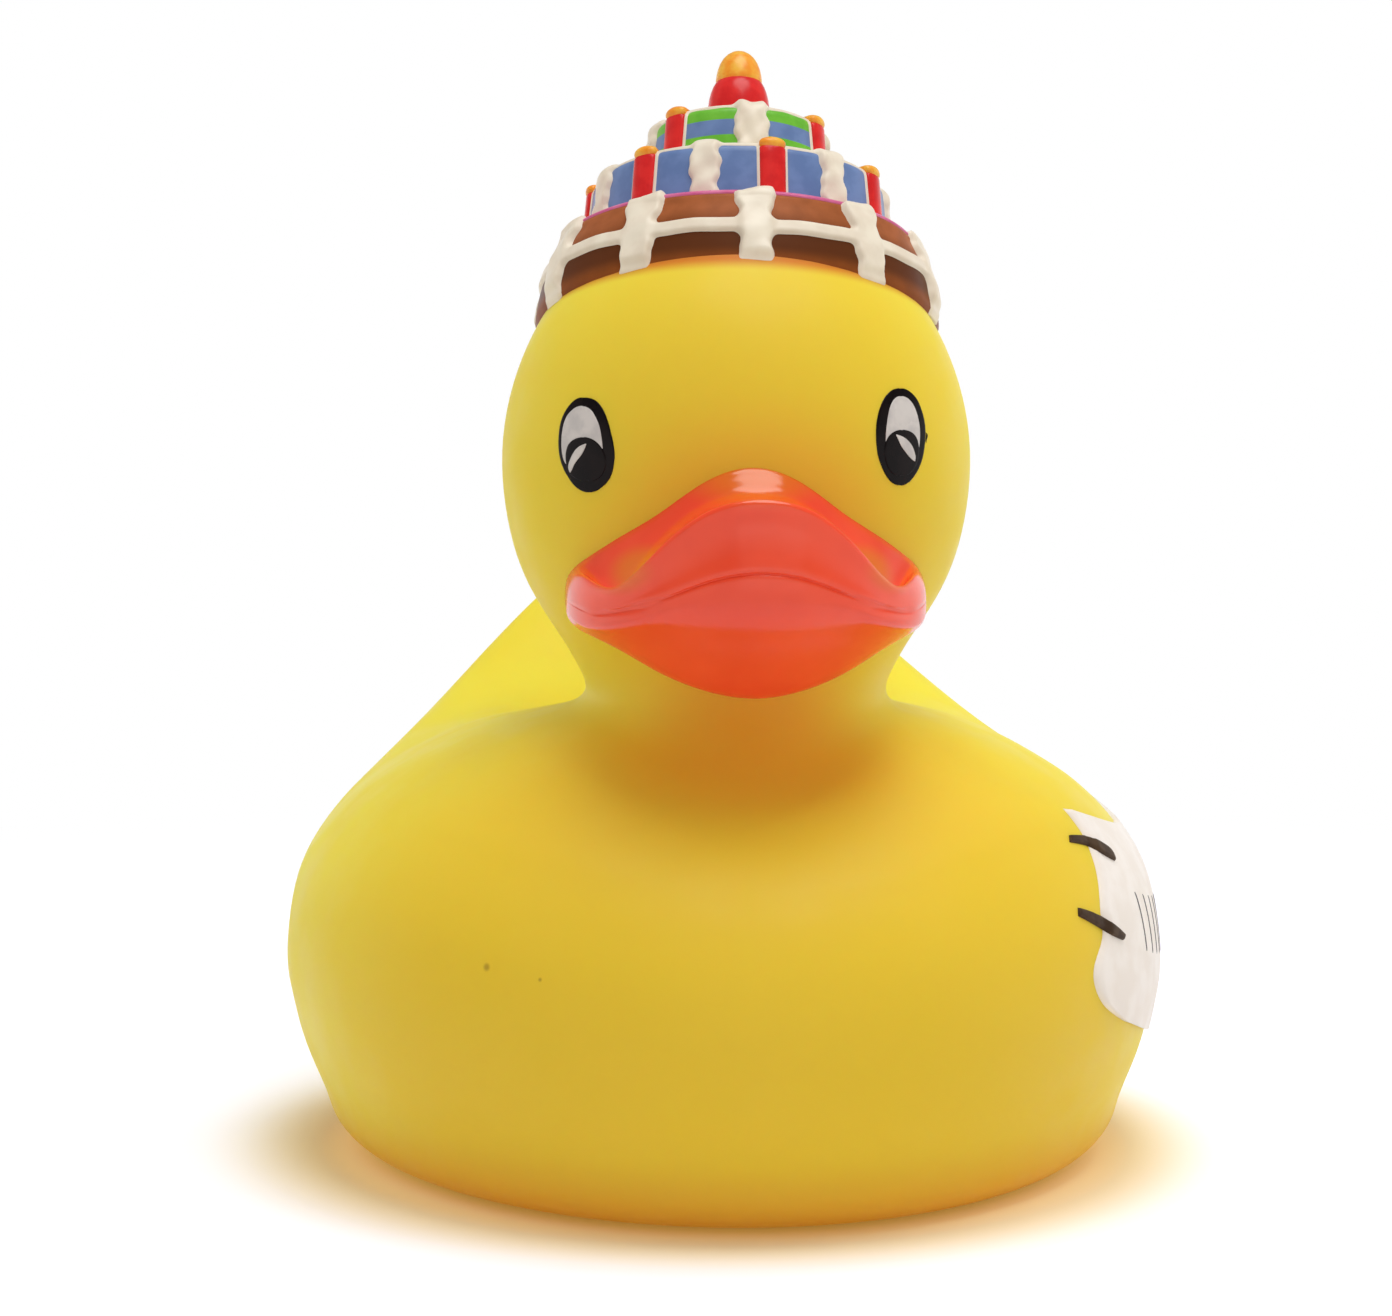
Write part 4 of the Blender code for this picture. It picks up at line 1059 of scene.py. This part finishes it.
banner_paint = smooth_finish("label_white", (246, 238, 232), (240, 230, 222), 0.42, 3.0)
rows = [tuple(in_sight(*spot)[0][1:]) for spot in BANNER_END] + [BANNER_FOOT]
rows = smooth_through(rows, np.linspace(0, len(rows) - 1, 70))
share = np.linspace(0, 1, 90)[None, :]
banner_y = rows[:, :1] + 2 * share * (BANNER_MIDDLE - rows[:, :1])
banner_z = rows[:, 1:] - BANNER_SAG * 4 * share * (1 - share)
flat = np.stack((banner_y, banner_z), axis=2)
banner = film("banner", flat, on_left_flank, BANNER_PROUD, 0.3, banner_paint, 0.05, 0.5)
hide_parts("duck_shell")

stitch_paint = smooth_finish("stitch_grey", (82, 64, 48), (66, 50, 38), 0.5, 1.0, 0.1)
STITCH_CORNER = (1030, 780)
STITCH_ZOOM = 6
STITCHES = (
    (
        [(232, 332), (300, 334), (370, 350), (440, 390), (485, 430), (508, 486)],
        [(236, 374), (300, 386), (350, 400), (400, 425), (450, 455), (508, 486)],
    ),
    (
        [(285, 765), (340, 780), (420, 815), (480, 850), (530, 890), (566, 926)],
        [(288, 818), (340, 845), (400, 880), (450, 910), (500, 938), (556, 962)],
    ),
)
cover = BVHTree.FromPolygons(
    [v.co / MM for v in banner.data.vertices], [tuple(f.vertices) for f in banner.data.polygons]
)


def over_all(start, way, skin_hit):
    """The outermost surface on a line, banner or skin, and the skin's way out there."""
    point, out = skin_hit
    raised, _, _, _ = cover.ray_cast(start, way)
    if raised is not None and (raised - start).length < (point - start).length:
        point = raised
    return point, out


def stitch_in_sight(across, down):
    """Where a line of sight meets the banner or the skin."""
    return over_all(eye_point / MM, sight_line(across, down), in_sight(across, down))


def stitch_from_side(y, z):
    """The banner or the skin at a place on the left flank, seen from its side."""
    return over_all(Vector((FROM_THE_LEFT, y, z)), Vector((-1, 0, 0)), on_left_flank(y, z))


for i, sides in enumerate(STITCHES):
    grid = between(sides, STITCH_CORNER, STITCH_ZOOM, 40, 12, 0.0)
    dash = film(f"stitch_front_{i + 1}", grid, stitch_in_sight, 0.28, 0.3, stitch_paint, 0.1, 0.8)
    seen = np.array([[in_sight(*spot)[0][1:] for spot in row] for row in grid])
    seen[:, :, 0] = 2 * BANNER_MIDDLE - seen[:, :, 0]
    dash = film(f"stitch_rear_{i + 1}", seen, stitch_from_side, 0.28, 0.3, stitch_paint, 0.1, 0.8)

# A row of plain upright strokes is printed along the banner's middle

stroke_paint = smooth_finish("stroke_grey", (118, 110, 114), (98, 92, 96), 0.5, 1.0, 0.1)
STROKES = 14
STROKE_GAP = 2.3
STROKE_TALL = 5.4
STROKE_WIDE = 0.34
ROW_START = -22.5
ROW_HEIGHT = 22.2

for i in range(STROKES):
    y = BANNER_MIDDLE + STROKE_GAP * (i - (STROKES - 1) / 2)
    along = (y - ROW_START) / (2 * (BANNER_MIDDLE - ROW_START))
    middle = ROW_HEIGHT - BANNER_SAG * 4 * along * (1 - along)
    wide, tall = np.meshgrid(np.linspace(-0.5, 0.5, 5), np.linspace(0.5, -0.5, 14))
    grid = np.stack((y + STROKE_WIDE * wide, middle + STROKE_TALL * tall), axis=2)
    stroke = film(f"stroke_{i + 1}", grid, stitch_from_side, 0.04, 0.05, stroke_paint, 0.03, 0.2)

# The squeaker is a moulded white polyethylene plug that snaps into the hole in the base. A half-round
# block is pressed into its bore and clamps a thin, springy, bluish plastic reed.

plug_plastic = smooth_finish(
    "white_plastic", (238, 237, 230), (230, 229, 221), 0.38, patch=5, gloss=0.5, grain=0.4, depth=0.006
)
reed_film = smooth_finish(
    "reed_plastic", (214, 220, 224), (202, 210, 216), 0.3, patch=3, gloss=0.5, depth=0.004
)
for node, plastic in (
    ("squeaker_body", plug_plastic),
    ("squeaker_block", plug_plastic),
    ("squeaker_reed", reed_film),
):
    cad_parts[node].material_slots[0].material = plastic

# The duck stands on a table under a seamless sheet of white paper, in soft studio light: a big softbox
# overhead, two behind and a fill in front, in a pale room. The paper takes the duck's shadow.

PAPER_HALF = 3.0
BELOW_FOOT = 0.0002
sheet = bpy.data.meshes.new("table")
corners = [(-1, -1), (1, -1), (1, 1), (-1, 1)]
sheet.from_pydata([(PAPER_HALF * x, PAPER_HALF * y, 0) for x, y in corners], [], [(0, 1, 2, 3)])
table = bpy.data.objects.new("table", sheet)
table.location = (0, 0, -BELOW_FOOT)
bpy.context.scene.collection.objects.link(table)


def on_numbers(tree, operation, first, second):
    """One step of arithmetic on two outputs."""
    step = tree.nodes.new("ShaderNodeMath")
    step.operation = operation
    tree.links.new(first, step.inputs[0])
    tree.links.new(second, step.inputs[1])
    return step.outputs[0]


def seen_white(tree):
    """1 for what is seen straight, in a gloss or through glass, and 0 for the light on the duck."""
    rays = tree.nodes.new("ShaderNodeLightPath").outputs
    seen = on_numbers(tree, "MAXIMUM", rays["Is Camera Ray"], rays["Is Glossy Ray"])
    return on_numbers(tree, "MAXIMUM", seen, rays["Is Transmission Ray"])


# The paper's own colour, and how it looks to the camera by the foot, painted with warm light from the
# vinyl, and away
PAPER = (0.86, 0.84, 0.8, 1)
PAPER_WARM_LIT_BY_FOOT = (0.97, 0.82, 0.56, 1)
PAPER_AWAY = (1.05, 1.05, 1.17, 1)

# A painted glow on the paper right by the foot stands for light that has come through the vinyl
PAINTED_VINYL_GLOW = (0.66, 0.42, 0.1, 1)
PAINTED_GLOW_STRENGTH = 0.22

# The footprint's middle and half sizes (mm), and the shares of it between which the painted glow and the
# painted warm tint end
FOOT_MIDDLE = (0, -3, 0)
FOOT_HALF = (34.0, 36.5, 1000)
GLOW_ENDS = (0.95, 1.04)
PAINTED_TINT_ENDS = (0.98, 1.34)

# Beyond this ring round the duck (from, to, in metres) the paper is plain white to the camera
WHITE_FROM = (0.09, 0.2)

paper, tree, shader, place = finish_nodes("table_paper", 0.9)
shader.inputs["Specular IOR Level"].default_value = 0.0
seen = seen_white(tree)
ring = distance_in(tree, place, FOOT_MIDDLE, FOOT_HALF)
painted_tint = blend_colours(tree, spread(tree, ring, *PAINTED_TINT_ENDS, 0, 1), PAPER_WARM_LIT_BY_FOOT, PAPER_AWAY)
tree.links.new(blend_colours(tree, seen, PAPER, painted_tint), shader.inputs["Base Color"])
shader.inputs["Emission Color"].default_value = PAINTED_VINYL_GLOW
glowing = spread(tree, ring, *GLOW_ENDS, PAINTED_GLOW_STRENGTH, 0)
tree.links.new(glowing, shader.inputs["Emission Strength"])
far = spread(tree, on_vectors(tree, "LENGTH", place), *WHITE_FROM, 0, 1)
plain = tree.nodes.new("ShaderNodeEmission")
plain.inputs["Color"].default_value = (1, 1, 1, 1)
plain.inputs["Strength"].default_value = 1.0
mix = tree.nodes.new("ShaderNodeMixShader")
tree.links.new(on_numbers(tree, "MULTIPLY", far, seen), mix.inputs[0])
tree.links.new(shader.outputs[0], mix.inputs[1])
tree.links.new(plain.outputs[0], mix.inputs[2])
tree.links.new(mix.outputs[0], tree.nodes["Material Output"].inputs["Surface"])
sheet.materials.append(paper)


def blend_values(tree, share, first, second):
    """A number and an output mixed by a share from 0 to 1."""
    mixer = tree.nodes.new("ShaderNodeMix")
    tree.links.new(share, mixer.inputs["Factor"])
    mixer.inputs["A"].default_value = first
    tree.links.new(second, mixer.inputs["B"])
    return mixer.outputs["Result"]


# The room is white all round and lights the duck softly. In a gloss its ceiling is darker: between
# these heights of view it falls from white.
ROOM_LIGHT = 0.45
CEILING = 0.2
CEILING_FROM = (0.08, 0.36)

room = bpy.data.worlds.new("room")
bpy.context.scene.world = room
room.use_nodes = True
tree = room.node_tree
glow = tree.nodes["Background"]
glow.inputs["Color"].default_value = (1, 1, 1, 1)
overhead = tree.nodes.new("ShaderNodeSeparateXYZ")
tree.links.new(tree.nodes.new("ShaderNodeTexCoord").outputs["Generated"], overhead.inputs[0])
is_gloss = tree.nodes.new("ShaderNodeLightPath").outputs["Is Glossy Ray"]
ceiling = spread(tree, overhead.outputs["Z"], *CEILING_FROM, 1.0, CEILING)
in_gloss = blend_values(tree, is_gloss, 1.0, ceiling)
tree.links.new(blend_values(tree, seen_white(tree), ROOM_LIGHT, in_gloss), glow.inputs["Strength"])

# The lamps: where each stands, the height it is turned to, its size in metres, its watts and its tint,
# and whether it glares in a gloss
LAMPS = (
    ("top_softbox", (0.08, -0.08, 0.7), 0.03, (0.44, 0.44), 2.7, (1, 1, 0.98), True),
    ("left_softbox", (0.55, 0.3, 0.3), 0.04, (0.5, 0.5), 1.15, (1, 1, 0.96), False),
    ("right_softbox", (-0.55, 0.4, 0.3), 0.04, (0.5, 0.5), 1.05, (1, 0.94, 0.84), False),
    ("front_fill", (0.15, -0.8, 0.35), 0.05, (0.9, 0.7), 0.68, (1, 0.93, 0.84), True),
)
for name, place, aim_height, size, watts, tint, glares in LAMPS:
    lamp = bpy.data.lights.new(name, "AREA")
    lamp.shape = "RECTANGLE"
    lamp.size, lamp.size_y = size
    lamp.energy = watts
    lamp.color = tint
    holder = bpy.data.objects.new(name, lamp)
    holder.location = place
    way = Vector((0, 0, aim_height)) - Vector(place)
    holder.rotation_euler = way.to_track_quat("-Z", "Y").to_euler()
    holder.visible_glossy = glares
    bpy.context.scene.collection.objects.link(holder)

bpy.context.scene.view_settings.view_transform = "Standard"
